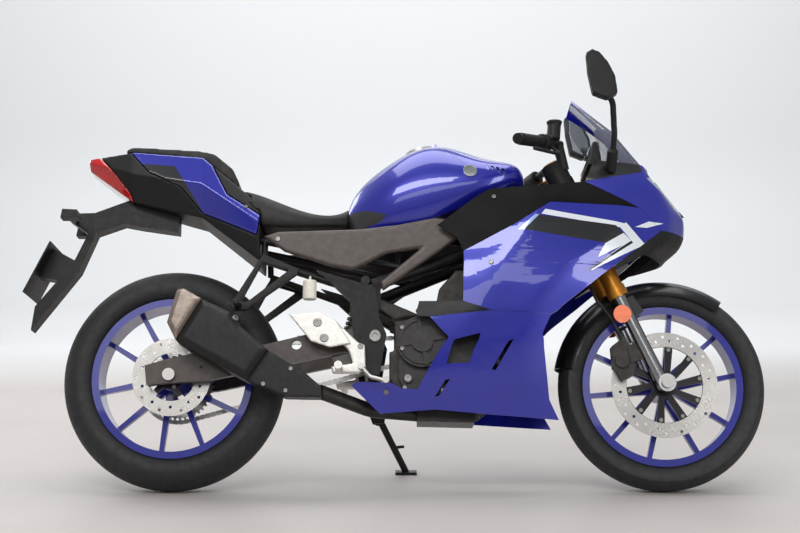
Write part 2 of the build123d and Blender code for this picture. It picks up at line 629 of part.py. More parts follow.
stay_side = rod((side_start.X, -side_start.Y, side_start.Z), (side_start.X, -300, side_start.Z), 7, stretch=1)
frame += both((rod(stay_low, stay_high, STAY_RADIUS, stretch=1) + stay_side) & form_seat)
frame += slab(lug_outline, PLATE_INNER, PLATE_OUTER)
pivot_point = drawn(STAND_PIVOT)
frame += rod(pivot_point - STAND_AXIS * 24, pivot_point - STAND_AXIS * 4, STAND_EYE_RADIUS + 1, stretch=1)
pin_end = pivot_point + STAND_AXIS * 15
frame += rod(pivot_point - STAND_AXIS * 5, pin_end, STAND_PIN_RADIUS, stretch=1)
frame += rod(pivot_point + STAND_AXIS * (10 + SEAT_GAP), pin_end, STAND_PIN_RADIUS + 4, stretch=1)
for x, y in ((640, 90), (900, 55)):
    frame += both(rod((x, y, 620), (x, y, 900), 9))
frame -= Pos(0, 0, -SEAT_GAP) * tank_form
frame -= FORK * Cylinder(STEM_RADIUS + SEAT_GAP, 2200)
nodes["frame"] = frame

# Side stand
eye = rod(pivot_point - STAND_AXIS * (4 - SEAT_GAP), pivot_point + STAND_AXIS * 10, STAND_EYE_RADIUS, stretch=1)
leg_top = pivot_point + STAND_AXIS * 3
leg_run = STAND_FOOT + FLOOR_UP * 6 - leg_top
leg = rod(leg_top, leg_top + leg_run, 10, stretch=1)
tang = leg_top + leg_run * 0.55
leg += rod(tang, tang + Vector(30, 12, 4), 4.5, stretch=1)
foot = Plane(origin=STAND_FOOT, x_dir=(1, 0, 0), z_dir=FLOOR_UP) * Box(
    64, 42, 8, align=(Align.CENTER, Align.CENTER, Align.MIN)
)
stand = eye + leg + foot
stand -= rod(pivot_point - STAND_AXIS * 20, pivot_point + STAND_AXIS * 20, STAND_PIN_RADIUS + SEAT_GAP, stretch=1)
stand -= rod(pivot_point + STAND_AXIS * 10, pivot_point + STAND_AXIS * 26, 30, stretch=1)
stand -= rod(pivot_point - STAND_AXIS * 40, pivot_point - STAND_AXIS * (4 - SEAT_GAP), 30, stretch=1)
nodes["side_stand"] = stand

# Engine block with covers
case_outline = [(612, 300), (640, 248), (890, 244), (930, 300), (932, 420), (905, 470), (700, 482), (612, 470)]
cylinder_outline = [(735, 478), (905, 440), (938, 520), (925, 612), (800, 615), (752, 560)]
mount_outline = [(625, 470), (548, 520), (566, 540), (700, 482)]
CASE_HALF = 112
engine = slab(case_outline, -CASE_HALF, CASE_HALF) + slab(cylinder_outline, -CASE_HALF + 6, CASE_HALF - 6)
engine += both(slab(mount_outline, PLATE_INNER - 36, PLATE_INNER - SEAT_GAP))
engine -= block((500, 715), (64, 200), (362, 474))
engine -= block((500, 625), (-200, 200), (380, 462))
engine += y_rod(COUNTERSHAFT_X, COUNTERSHAFT_Z, 60, 96, 13)
front_tip = CHAIN_FRONT_RADIUS - CHAIN_HEIGHT / 2 - SEAT_GAP
sprocket_low = CHAIN_Y - SPROCKET_THICKNESS / 2
engine += y_rod(COUNTERSHAFT_X, COUNTERSHAFT_Z, sprocket_low, sprocket_low + SPROCKET_THICKNESS, front_tip)
pan_stay = rod((912, -CASE_HALF + 10, 340), (912, -300, 340), 8) & form_seat
nodes["engine"] = engine + both(pan_stay)
CLUTCH_X = 704
CLUTCH_Z = 402
CLUTCH_RADIUS = 72
CLUTCH_DEPTH = 44
CLUTCH_RIBS = 4
case_side = -CASE_HALF - SEAT_GAP
clutch_face = -CASE_HALF - CLUTCH_DEPTH
clutch = y_rod(CLUTCH_X, CLUTCH_Z, clutch_face, case_side, CLUTCH_RADIUS)
clutch += y_rod(CLUTCH_X, CLUTCH_Z, clutch_face - 9, case_side, 31)
clutch += y_rod(CLUTCH_X, CLUTCH_Z, clutch_face - 6, clutch_face, CLUTCH_RADIUS - 8)
clutch -= y_rod(CLUTCH_X, CLUTCH_Z, clutch_face - 6, clutch_face, CLUTCH_RADIUS - 14) - y_rod(
    CLUTCH_X, CLUTCH_Z, clutch_face - 9, clutch_face, 31
)
for rib in range(CLUTCH_RIBS):
    bar = Pos(45, 0, 0) * Box(46, 10, 12)
    clutch += Pos(CLUTCH_X * STRETCH, clutch_face, CLUTCH_Z) * Rot(90, 0, 0) * Rot(0, 0, 90 * rib + 10) * bar
clutch += slab([(640, 300), (660, 256), (850, 262), (880, 330), (860, 440), (720, 478), (640, 460)],
               -CASE_HALF - 25, case_side)
clutch += y_rod(664, 300, -CASE_HALF - 32, -CASE_HALF - 20, 14)
generator = y_rod(800, 372, CASE_HALF + SEAT_GAP, CASE_HALF + 50, 76)
nodes["engine_covers"] = (clutch & form_seat) + (generator & mirrored(form_seat))

# Radiator, hung from the spars
radiator = block((985, 1018), (-150, 150), (432, 660))
hanger = rod((1000, 46, 640), (1000, 46, 760), 6)
hanger -= rod(spar_start, spar_end, SPAR_RADIUS + SEAT_GAP, stretch=1)
hanger -= block((900, 1100), (0, 100), (735, 800))
nodes["radiator"] = radiator + both(hanger)

# Rear shock between the swingarm and the upper cross tube
shock_low = drawn((486, 0, 396))
shock_top = drawn((545, 0, 578))
shock_axis = (shock_top - shock_low).normalized()
shock = rod(shock_low, shock_top, 9, stretch=1)
shock += rod(shock_low + shock_axis * 45, shock_top - shock_axis * 26, 19, stretch=1)
COILS = 7
for coil in range(COILS):
    spot = shock_low + shock_axis * (50 + coil * 14)
    shock += rod(spot, spot + shock_axis * 7, 27, stretch=1)
shock -= y_rod(545, 578, -60, 60, 13 + SEAT_GAP)
nodes["rear_shock"] = shock - Pos(0, 0, SEAT_GAP) * (cross + web)

# Exhaust
header = bent_rod([(930, -45, 545), (962, -45, 540), (962, -45, 300), (850, -40, 216)], 17, [14, 60])
box = slab([(690, 236), (690, 190), (850, 186), (856, 232)], -66, 66)
tail_pipe = bent_rod([(700, -30, 213), (560, -52, 222), (420, -150, 262)], 20, 90)
muffler_front = [(282, 369), (380, 311), (430, 268), (430, 240), (331, 241), (225, 284)]
muffler_body = [(98, 511), (182, 472), (208, 433), (282, 369), (225, 284), (29, 394)]
muffler_cap = [(28, 536), (47, 541), (98, 511), (29, 394), (3, 445)]
MUFFLER_OUT = -226
MUFFLER_IN = -132
front_cover = slab(muffler_front, MUFFLER_OUT + 26, MUFFLER_IN, inset=SEAM / 2)
pipes = both(header) + box + tail_pipe
muffler_seat = slab(muffler_front, MUFFLER_OUT, MUFFLER_IN + SEAT_GAP, inset=-SEAT_GAP)
nodes["exhaust_pipes"] = pipes - engine - muffler_seat
MUFFLER_BEVEL = 16
canister = slab(muffler_body, MUFFLER_OUT, MUFFLER_IN, inset=SEAM / 2)
canister = chamfer(side_edges(canister, MUFFLER_OUT), MUFFLER_BEVEL)
nodes["muffler"] = canister + front_cover
end_cap = slab(muffler_cap, MUFFLER_OUT + 4, MUFFLER_IN - 4, inset=SEAM / 2)
end_cap = chamfer(side_edges(end_cap, MUFFLER_OUT + 4), MUFFLER_BEVEL - 4)
nodes["muffler_end"] = end_cap - y_rod(20, 470, MUFFLER_OUT + 30, MUFFLER_IN - 30, 26)

# Frame covers
cover_side = [
    (258, 702), (300, 716), (520, 722), (636, 736), (741, 757), (840, 740), (820, 706), (594, 546), (585, 570),
    (700, 668), (605, 653), (513, 606), (451, 615), (318, 658),
]
cover_inner = PLATE_OUTER + SEAT_GAP
COVER_BEVEL = 5
side_cover = slab(cover_side, cover_inner, cover_inner + COVER_THICKNESS)
side_cover = chamfer(side_edges(side_cover, cover_inner + COVER_THICKNESS), COVER_BEVEL)
nodes["frame_covers"] = both(side_cover)

# Footrests, pedals and their plates
heel = [(334, 475), (420, 481), (467, 455), (507, 393), (449, 382), (396, 399)]
bracket = [
    (430, 452), (470, 452), (528, 396), (545, 390), (548, 322), (530, 312), (456, 312), (452, 330), (512, 338),
    (500, 375),
]
rearset = slab(bracket, PLATE_OUTER + SEAT_GAP, PLATE_OUTER + 26)
nodes["rearsets"] = both(rearset)
nodes["heel_plates"] = both(slab(heel, PLATE_OUTER + 26 + SEAT_GAP, PLATE_OUTER + 34))
peg = y_rod(475, 321, PLATE_OUTER + 26 + SEAT_GAP, PLATE_OUTER + 110, 11)
nodes["footpegs"] = both(peg)
pedal = bent_rod([(535, PLATE_OUTER + 32, 330), (560, PLATE_OUTER + 36, 300), (612, PLATE_OUTER + 50, 284)], 6, 20)
pedal += y_rod(604, 286, PLATE_OUTER + 40, PLATE_OUTER + 76, 9)
pedal += y_rod(535, 330, PLATE_OUTER + 26 + SEAT_GAP, PLATE_OUTER + 40, 9)
nodes["pedals"] = both(pedal)

# Pillion hangers and brake cup
HANGER_IN = 146
HANGER_OUT = 158
truss = slab([(258, 650), (362, 606), (356, 590), (214, 488), (178, 486), (168, 502)], HANGER_IN, HANGER_OUT)
truss -= slab([(258, 624), (330, 602), (218, 514), (200, 512)], 0, 300)
strut_gap = rod((486, 128, 560), (258, 112, 640), 10 + SEAT_GAP)
truss += y_rod(278, 634, 113, HANGER_IN + 2, 6) + y_rod(346, 609, 117, HANGER_IN + 2, 6) - strut_gap
truss += y_rod(192, 500, HANGER_OUT - 1, HANGER_OUT + 70, 9)
nodes["pillion_hangers"] = both(truss)
cup = rod((390, -150, 520), (390, -150, 574), 19) + rod((390, -150, 572), (390, -118, 600), 4)
nodes["brake_reservoir"] = cup - mirrored(strut_gap)

# Windscreen, standing on the lip of the nose
def screen_section(edge_x, edge_z, half, mid_x, mid_z):
    """A bow through two side edges and the middle, of even thickness."""
    edge = Vector(edge_x, 0, edge_z)
    rise = Vector(mid_x, 0, mid_z) - edge
    depth = rise.length
    radius = (half**2 + depth**2) / (2 * depth)
    centre = depth - radius
    inner = 1 - SCREEN_WALL / radius
    inner_end = centre * (1 - inner)
    bow = make_face([
        ThreePointArc((0, -half), (depth, 0), (0, half)),
        Line((0, half), (inner_end, half * inner)),
        ThreePointArc((inner_end, half * inner), (depth - SCREEN_WALL, 0), (inner_end, -half * inner)),
        Line((inner_end, -half * inner), (0, -half)),
    ])
    return Plane(origin=edge, x_dir=rise, z_dir=rise.cross(Vector(0, 1, 0))) * bow


base_rear, base_half = polar(SCREEN_BASE_RADIUS, 90 + SCREEN_WRAP)
base_height = FAIRING_TOP + SEAT_GAP
# x and height of the side edges, their half width, x and height of the middle
SCREEN_SECTIONS = [
    (screen_centre + base_rear, base_height, base_half, screen_front, base_height),
    (1200 * STRETCH, 1020, 120, 1270 * STRETCH, 1048),
    (1136 * STRETCH, 1100, 78, 1150 * STRETCH, 1150),
]
nodes["windscreen"] = loft([screen_section(*row) for row in SCREEN_SECTIONS], ruled=True)

# Dash on the nose stay
dash = slab([(1182, 930), (1200, 1000), (1218, 1000), (1226, 925)], -92, 92)
POST_X = 1205
post_low = stay_low + (stay_high - stay_low) * ((POST_X * STRETCH - stay_low.X) / (stay_high.X - stay_low.X))
dash_post = rod(post_low, (post_low.X, 0, 940), 8, stretch=1)
nodes["dash"] = dash + (dash_post - rod(stay_low, stay_high, STAY_RADIUS + SEAT_GAP, stretch=1))

# Mirrors, folded
mirror_arm = bent_rod([(1244, -110, 880), (1248, -196, 985), (1240, -240, 1066), (1215, -282, 1090)], 9, [40, 30])
mirror_arm += rod((1244, -118, 890), (1246, -168, 950), 16)
head_outline = [
    (1161, 1192), (1178, 1203), (1198, 1194), (1222, 1164), (1240, 1124), (1246, 1074), (1216, 1058), (1176, 1074),
    (1164, 1138),
]
mirror_head = slab(head_outline, -306, -274)
nodes["mirrors"] = both(mirror_arm + mirror_head - form_outside)

# Fork, in its own frame: forward, left and up along the steering axis
def fork_rod(forward, left, low, high, radius):
    return FORK * rod((forward, left, low), (forward, left, high), radius, stretch=1)


axle_up = FRONT_AXLE_FORK.Z
LEG_SOCKET = 50
FORK_REACH = 1400
outer_tube = fork_rod(LEG_OFFSET, LEG_Y, OUTER_TUBE_LOW, OUTER_TUBE_TOP, OUTER_TUBE_RADIUS)
outer_tube += fork_rod(LEG_OFFSET, LEG_Y, OUTER_TUBE_LOW - 4, OUTER_TUBE_LOW + 26, OUTER_TUBE_RADIUS + 3)
outer_tube -= fork_rod(LEG_OFFSET, LEG_Y, OUTER_TUBE_LOW - 10, OUTER_TUBE_LOW + LEG_SOCKET, LEG_RADIUS + SEAT_GAP)
nodes["fork_outer_tubes"] = both(outer_tube)
fork_leg = fork_rod(LEG_OFFSET, LEG_Y, axle_up - 10, OUTER_TUBE_LOW + LEG_SOCKET - SEAT_GAP, LEG_RADIUS)
fork_leg += y_rod(FRONT_AXLE[0], FRONT_AXLE[2], LEG_Y - LUG_HALF, LEG_Y + LUG_HALF, LUG_RADIUS, stretch=1)
fork_leg -= y_rod(FRONT_AXLE[0], FRONT_AXLE[2], 0, 2 * LEG_Y, AXLE_RADIUS + SEAT_GAP, stretch=1)
nodes["fork_legs"] = both(fork_leg)
clamps = None
for height in (LOWER_CLAMP, UPPER_CLAMP):
    plate = Plane(origin=(0, 0, height)) * make_hull(
        (Pos(LEG_OFFSET, LEG_Y) * Circle(OUTER_TUBE_RADIUS + 11)).edges()
        + (Pos(LEG_OFFSET, -LEG_Y) * Circle(OUTER_TUBE_RADIUS + 11)).edges()
        + Circle(HEAD_RADIUS + 2).edges()
    )
    plate = extrude(plate, amount=CLAMP_THICKNESS)
    clamps = plate if clamps is None else clamps + plate
clamps += rod((0, 0, LOWER_CLAMP), (0, 0, UPPER_CLAMP + CLAMP_THICKNESS + 12), STEM_RADIUS)
for left in (-LEG_Y, LEG_Y):
    clamps -= rod((LEG_OFFSET, left, 0), (LEG_OFFSET, left, FORK_REACH), OUTER_TUBE_RADIUS + SEAT_GAP, stretch=1)
nodes["triple_clamps"] = FORK * clamps
clip_low = UPPER_CLAMP + CLAMP_THICKNESS + SEAT_GAP
clip = fork_rod(LEG_OFFSET, LEG_Y, clip_low, clip_low + CLIP_HEIGHT, OUTER_TUBE_RADIUS + 9)
bar_start = fork_point(LEG_OFFSET + 38, LEG_Y + 25, clip_low + 100)
bar_end = fork_point(LEG_OFFSET - 101, LEG_Y + 248, clip_low + 105)
bar_run = bar_end - bar_start
clip += rod(fork_point(LEG_OFFSET + 22, LEG_Y + 16, clip_low + 25), bar_start, RISER_RADIUS, stretch=1)
clip += rod(bar_start - bar_run * 0.07, bar_end, BAR_RADIUS, stretch=1)
clip += rod(bar_end, bar_end + bar_run * 0.05, GRIP_RADIUS - 2, stretch=1)
clip -= fork_rod(LEG_OFFSET, LEG_Y, 0, FORK_REACH, OUTER_TUBE_RADIUS + SEAT_GAP)
nodes["handlebars"] = both(clip)
bar_hole = rod(bar_start, bar_end, BAR_RADIUS + SEAT_GAP, stretch=1)
grip = rod(bar_start + bar_run * 0.46, bar_start + bar_run * 0.98, GRIP_RADIUS, stretch=1) - bar_hole
nodes["grips"] = both(grip)
switch_box = rod(bar_start + bar_run * 0.26, bar_start + bar_run * 0.44, GRIP_RADIUS + 6, stretch=1)
# Lever bends: share of the way along the bar, then forward and down from it
LEVER_BENDS = [(0.34, 16, -12), (0.4, 48, -36), (0.95, 34, -26)]
lever_points = [bar_start + bar_run * share + Vector(ahead, 0, up) for share, ahead, up in LEVER_BENDS]
lever = bent_rod(lever_points, 5.5, 16, stretch=1)
control = switch_box + lever - bar_hole
CUP_HEIGHT = 46
cup_base = bar_start + bar_run * 0.35 + Vector(24, 0, 8)
brake_cup = rod(cup_base, cup_base + Vector(4, 0, CUP_HEIGHT), 19, stretch=1)
brake_cup += rod(cup_base + Vector(4, 0, CUP_HEIGHT), cup_base + Vector(4, 0, CUP_HEIGHT + 8), 22, stretch=1)
nodes["controls"] = mirrored(control + brake_cup - bar_hole) + control

# Front fender, a curved strip round the tyre with braces to the legs
FENDER_HALF = 70
FENDER_FRONT = 36
FENDER_REAR = 80
fender_low = FRONT_RADIUS + FENDER_GAP
fender_edge = fender_low - 48
fender_section = make_face([
    ThreePointArc((fender_edge, -FENDER_HALF), (fender_low + FENDER_WALL, 0), (fender_edge, FENDER_HALF)),
    Line((fender_edge, FENDER_HALF), (fender_edge, FENDER_HALF - FENDER_WALL)),
    ThreePointArc((fender_edge, FENDER_HALF - FENDER_WALL), (fender_low, 0), (fender_edge, FENDER_WALL - FENDER_HALF)),
    Line((fender_edge, FENDER_WALL - FENDER_HALF), (fender_edge, -FENDER_HALF)),
])
fender_strip = revolve(fender_section, Axis.Y, FENDER_FRONT + FENDER_REAR)
fender_strip = front_at * Rot(0, -(90 + FENDER_REAR), 0) * fender_strip
brace = slab([(-137, 227), (-85, 252), (-55, 207), (-95, 177)], FENDER_HALF - 1.5, LEG_Y - 5, stretch=1)
brace = front_at * brace
brace -= fork_rod(LEG_OFFSET, LEG_Y, 0, FORK_REACH, LEG_RADIUS + SEAT_GAP)
brace -= fork_rod(LEG_OFFSET, LEG_Y, OUTER_TUBE_LOW - 4 - SEAT_GAP, FORK_REACH, OUTER_TUBE_RADIUS + 3 + SEAT_GAP)
nodes["front_fender"] = fender_strip + both(brace)

# Calipers, with a slot for the disc
DISC_CLEAR = 5
# Outlines are measured from the axle
caliper_outline = [(-149, 105), (-115, 131), (-83, 87), (-89, 25), (-123, 7), (-145, 47)]
caliper_low = FRONT_DISC_Y - 34
caliper = slab(caliper_outline, caliper_low, FRONT_DISC_Y + 16, stretch=1)
caliper += y_rod(-122, 62, caliper_low - 8, caliper_low, 19, stretch=1)
caliper += slab([(-105, 107), (-57, 117), (-51, 73), (-99, 57)], -LEG_Y - 6, FRONT_DISC_Y - 14, stretch=1)
slot_half = DISC_CLEAR + DISC_THICKNESS / 2
caliper -= y_rod(0, 0, FRONT_DISC_Y - slot_half, FRONT_DISC_Y + slot_half, FRONT_DISC_RADIUS + DISC_CLEAR)
hose_top = fork_point(-8, -LEG_Y + 8, LOWER_CLAMP - SEAT_GAP)
hose_low = Vector(*FRONT_AXLE) + Vector(-118, FRONT_DISC_Y - 20, 122)
hose_points = [hose_top, fork_point(-30, -LEG_Y - 6, 600), hose_low + Vector(-26, -8, 60), hose_low]
hose = bent_rod(hose_points, 4, [60, 30], stretch=1)
caliper = front_at * caliper + hose
nodes["front_caliper"] = caliper - fork_rod(LEG_OFFSET, -LEG_Y, 0, FORK_REACH, LEG_RADIUS + SEAT_GAP)
rear_outline = [(30, 106), (64, 122), (104, 94), (96, 58), (60, 66), (40, 78)]
rear_caliper = slab(rear_outline, REAR_DISC_Y - 22.5, REAR_DISC_Y + 13, stretch=1)
rear_caliper -= y_rod(0, 0, REAR_DISC_Y - slot_half, REAR_DISC_Y + slot_half, REAR_DISC_RADIUS + DISC_CLEAR)
nodes["rear_caliper"] = rear_at * rear_caliper

# Reflectors on the fork
reflector_at = fork_point(LEG_OFFSET, 0, 520)
reflector = y_rod(reflector_at.X - 20, reflector_at.Z, LEG_Y + 20, LEG_Y + 27, 25, stretch=1)
reflector_foot = Vector(reflector_at.X - 20, LEG_Y + 22, reflector_at.Z)
reflector += rod(reflector_foot, (reflector_at.X, LEG_Y, reflector_at.Z), 6, stretch=1)
nodes["reflectors"] = both(reflector - fork_rod(LEG_OFFSET, LEG_Y, 0, FORK_REACH, LEG_RADIUS + SEAT_GAP))

# The upright bike leans, and its box's foot is set on the origin
leaned = {name: Rot(-LEAN, 0, 0) * shape for name, shape in nodes.items()}
boxes = [shape.bounding_box() for shape in leaned.values()]
shift = Vector(
    -(min(b.min.X for b in boxes) + max(b.max.X for b in boxes)) / 2,
    -(min(b.min.Y for b in boxes) + max(b.max.Y for b in boxes)) / 2,
    LIFT,
)
place = Pos(shift) * Rot(-LEAN, 0, 0)
os.makedirs("parts", exist_ok=True)
for name, shape in nodes.items():
    export_step(place * shape, f"parts/{name}.step")


def placed(point):
    spot = (place * Pos(point)).position
    return [round(value / 1000, 5) for value in spot]


def turned(direction):
    spot = (Rot(-LEAN, 0, 0) * Pos(direction)).position
    return [round(value, 6) for value in spot]


print("lowest", min(b.min.Z for b in boxes) + LIFT)
print("front_axle", placed(Vector(*FRONT_AXLE)), turned(Vector(0, 1, 0)))
print("rear_axle", placed(Vector(*REAR_AXLE)))
print("steering", placed(fork_point(0, 0, HEAD_MIDDLE)), turned(FORK.z_dir))
print("stand", placed(pivot_point), turned(STAND_AXIS))
print("cap_hinge", placed(CAP.from_local_coords(Vector(HINGE_AHEAD, 0, HINGE_UP))), turned(Vector(0, 1, 0)))
for side in (-BOARD_HOLE_Y, BOARD_HOLE_Y):
    print("plate_hole", placed(BOARD.from_local_coords(Vector(side, 0, 0))), turned(BOARD.z_dir))
spool_middle = ARM_OUTER - SPOOL_DEPTH / 2
for side in (spool_middle, -spool_middle):
    print("spool", placed(drawn((SPOOL_X, side, SPOOL_Z))))
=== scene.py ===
import json
import math

import bmesh
import bpy
from mathutils import Matrix, Vector
from mathutils.bvhtree import BVHTree


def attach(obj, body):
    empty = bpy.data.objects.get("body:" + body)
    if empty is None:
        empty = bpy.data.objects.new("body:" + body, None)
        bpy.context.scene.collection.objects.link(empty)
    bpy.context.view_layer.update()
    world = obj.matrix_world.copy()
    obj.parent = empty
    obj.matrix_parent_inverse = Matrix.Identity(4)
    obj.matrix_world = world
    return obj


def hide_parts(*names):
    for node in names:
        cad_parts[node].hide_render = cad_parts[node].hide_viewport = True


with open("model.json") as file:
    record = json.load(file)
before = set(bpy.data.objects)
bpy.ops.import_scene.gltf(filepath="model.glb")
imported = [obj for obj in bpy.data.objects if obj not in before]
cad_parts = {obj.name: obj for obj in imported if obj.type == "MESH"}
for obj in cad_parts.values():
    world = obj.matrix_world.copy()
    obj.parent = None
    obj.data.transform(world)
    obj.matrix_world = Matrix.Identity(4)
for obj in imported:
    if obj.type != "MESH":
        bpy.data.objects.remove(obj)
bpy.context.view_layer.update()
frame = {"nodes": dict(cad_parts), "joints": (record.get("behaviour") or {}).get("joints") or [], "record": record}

scene = bpy.context.scene
nodes = frame["nodes"]
joints = {joint["name"]: joint for joint in frame["joints"]}
slot_of = {row["node"]: row["material_slot"] for row in frame["record"]["subparts"]}
body_of = {}
for body, names in frame["record"]["behaviour"]["bodies"].items():
    for name in names:
        body_of[name] = body

# The upright bike's own frame: millimetres, x forward from the rear axle, y left, z up from the ground
LEAN = math.radians(15)
WHEELBASE = 1385
FRONT_RADIUS = 293
REAR_RADIUS = 314
CROWN_RADIUS = 75
MM = 1000
SAME_POINT = 0.00002
TURN = Matrix.Rotation(-LEAN, 3, "X")
SHIFT = Vector(joints["rear_wheel_spin"]["pos_m"]) - TURN @ Vector((0, 0, REAR_RADIUS / MM))


def at(x, y, z):
    """A point of the upright bike, in the shared frame."""
    return TURN @ (Vector((x, y, z)) / MM) + SHIFT


# Materials
def srgb(red, green, blue):
    """A shader colour from 0-255 values."""
    parts = []
    for value in (red, green, blue):
        share = value / 255
        parts.append(share / 12.92 if share <= 0.04045 else ((share + 0.055) / 1.055) ** 2.4)
    return (*parts, 1)


class Look:
    """A material with its nodes, built up step by step."""

    def __init__(self, name):
        self.material = bpy.data.materials.new(name)
        self.material.use_nodes = True
        self.tree = self.material.node_tree
        self.shader = self.tree.nodes["Principled BSDF"]
        self.coords = self.tree.nodes.new("ShaderNodeTexCoord").outputs["Object"]

    def link(self, source, target):
        self.tree.links.new(source, target)

    def feed(self, value, socket):
        if isinstance(value, bpy.types.NodeSocket):
            self.link(value, socket)
        else:
            socket.default_value = value

    def set(self, **values):
        for name, value in values.items():
            self.feed(value, self.shader.inputs[name.replace("_", " ")])

    def base(self):
        return self.shader.inputs["Base Color"].links[0].from_socket

    def noise(self, scale, detail=3.0):
        node = self.tree.nodes.new("ShaderNodeTexNoise")
        node.inputs["Scale"].default_value = scale
        node.inputs["Detail"].default_value = detail
        self.link(self.coords, node.inputs["Vector"])
        return node.outputs["Fac"]

    def ramp(self, factor, low, high, start=0.3, end=0.7):
        node = self.tree.nodes.new("ShaderNodeMapRange")
        node.inputs["From Min"].default_value = start
        node.inputs["From Max"].default_value = end
        node.inputs["To Min"].default_value = low
        node.inputs["To Max"].default_value = high
        self.link(factor, node.inputs["Value"])
        return node.outputs["Result"]

    def mix(self, factor, first, second):
        node = self.tree.nodes.new("ShaderNodeMix")
        node.data_type = "RGBA"
        self.feed(factor, node.inputs[0])
        self.feed(first, node.inputs[6])
        self.feed(second, node.inputs[7])
        return node.outputs[2]

    def math(self, operation, first, second=0.0, third=0.0):
        node = self.tree.nodes.new("ShaderNodeMath")
        node.operation = operation
        self.feed(first, node.inputs[0])
        self.feed(second, node.inputs[1])
        self.feed(third, node.inputs[2])
        return node.outputs[0]

    def along(self, direction, origin):
        """How far a point lies along a direction from an origin, in metres."""
        node = self.tree.nodes.new("ShaderNodeVectorMath")
        node.operation = "DOT_PRODUCT"
        self.link(self.coords, node.inputs[0])
        node.inputs[1].default_value = direction
        return self.math("ADD", node.outputs["Value"], -Vector(direction).dot(origin))

    def bike_axis(self, index):
        """The upright bike's x, y or z, in millimetres."""
        return self.math("MULTIPLY", self.along(TURN.col[index], SHIFT), MM)

    def inside(self, points):
        """1 within a convex outline of bike (x, z) points, else 0."""
        x = self.bike_axis(0)
        z = self.bike_axis(2)
        area = sum(a[0] * b[1] - b[0] * a[1] for a, b in zip(points, points[1:] + points[:1]))
        turn = 1 if area > 0 else -1
        result = None
        for a, b in zip(points, points[1:] + points[:1]):
            normal = (-(b[1] - a[1]) * turn, (b[0] - a[0]) * turn)
            offset = -(normal[0] * a[0] + normal[1] * a[1])
            side = self.math("MULTIPLY_ADD", x, normal[0], self.math("MULTIPLY_ADD", z, normal[1], offset))
            test = self.math("GREATER_THAN", side, 0.0)
            result = test if result is None else self.math("MULTIPLY", result, test)
        return result

    def paint(self, factor, colour):
        """Lays a colour over the base where the factor is 1."""
        self.set(Base_Color=self.mix(factor, self.base(), colour))

    def bump(self, height, strength, distance):
        node = self.tree.nodes.new("ShaderNodeBump")
        node.inputs["Strength"].default_value = strength
        node.inputs["Distance"].default_value = distance
        self.link(height, node.inputs["Height"])
        self.link(node.outputs["Normal"], self.shader.inputs["Normal"])


def finish(name, colour, shade, rough, scale=40.0, metallic=0.0, coat=0.0, grain=0.0, grain_scale=900.0):
    """A finish that varies softly between two colours, a little uneven in its roughness and surface."""
    look = Look(name)
    cloud = look.noise(scale)
    look.set(Base_Color=look.mix(look.ramp(cloud, 0.0, 1.0), srgb(*colour), srgb(*shade)))
    look.set(Roughness=look.ramp(look.noise(scale), rough * 0.9, rough * 1.1))
    look.set(Metallic=metallic, Coat_Weight=coat, Coat_Roughness=0.03)
    if grain:
        look.bump(look.noise(grain_scale, 4.0), grain, 0.0004)
    return look


BLUE = ((22, 28, 150), (19, 25, 142))
PAINT = (*BLUE, 0.3, 8.0, 0.3, 1.0)
WHITE = srgb(228, 231, 236)
BLACK = srgb(12, 12, 13)
looks = {}
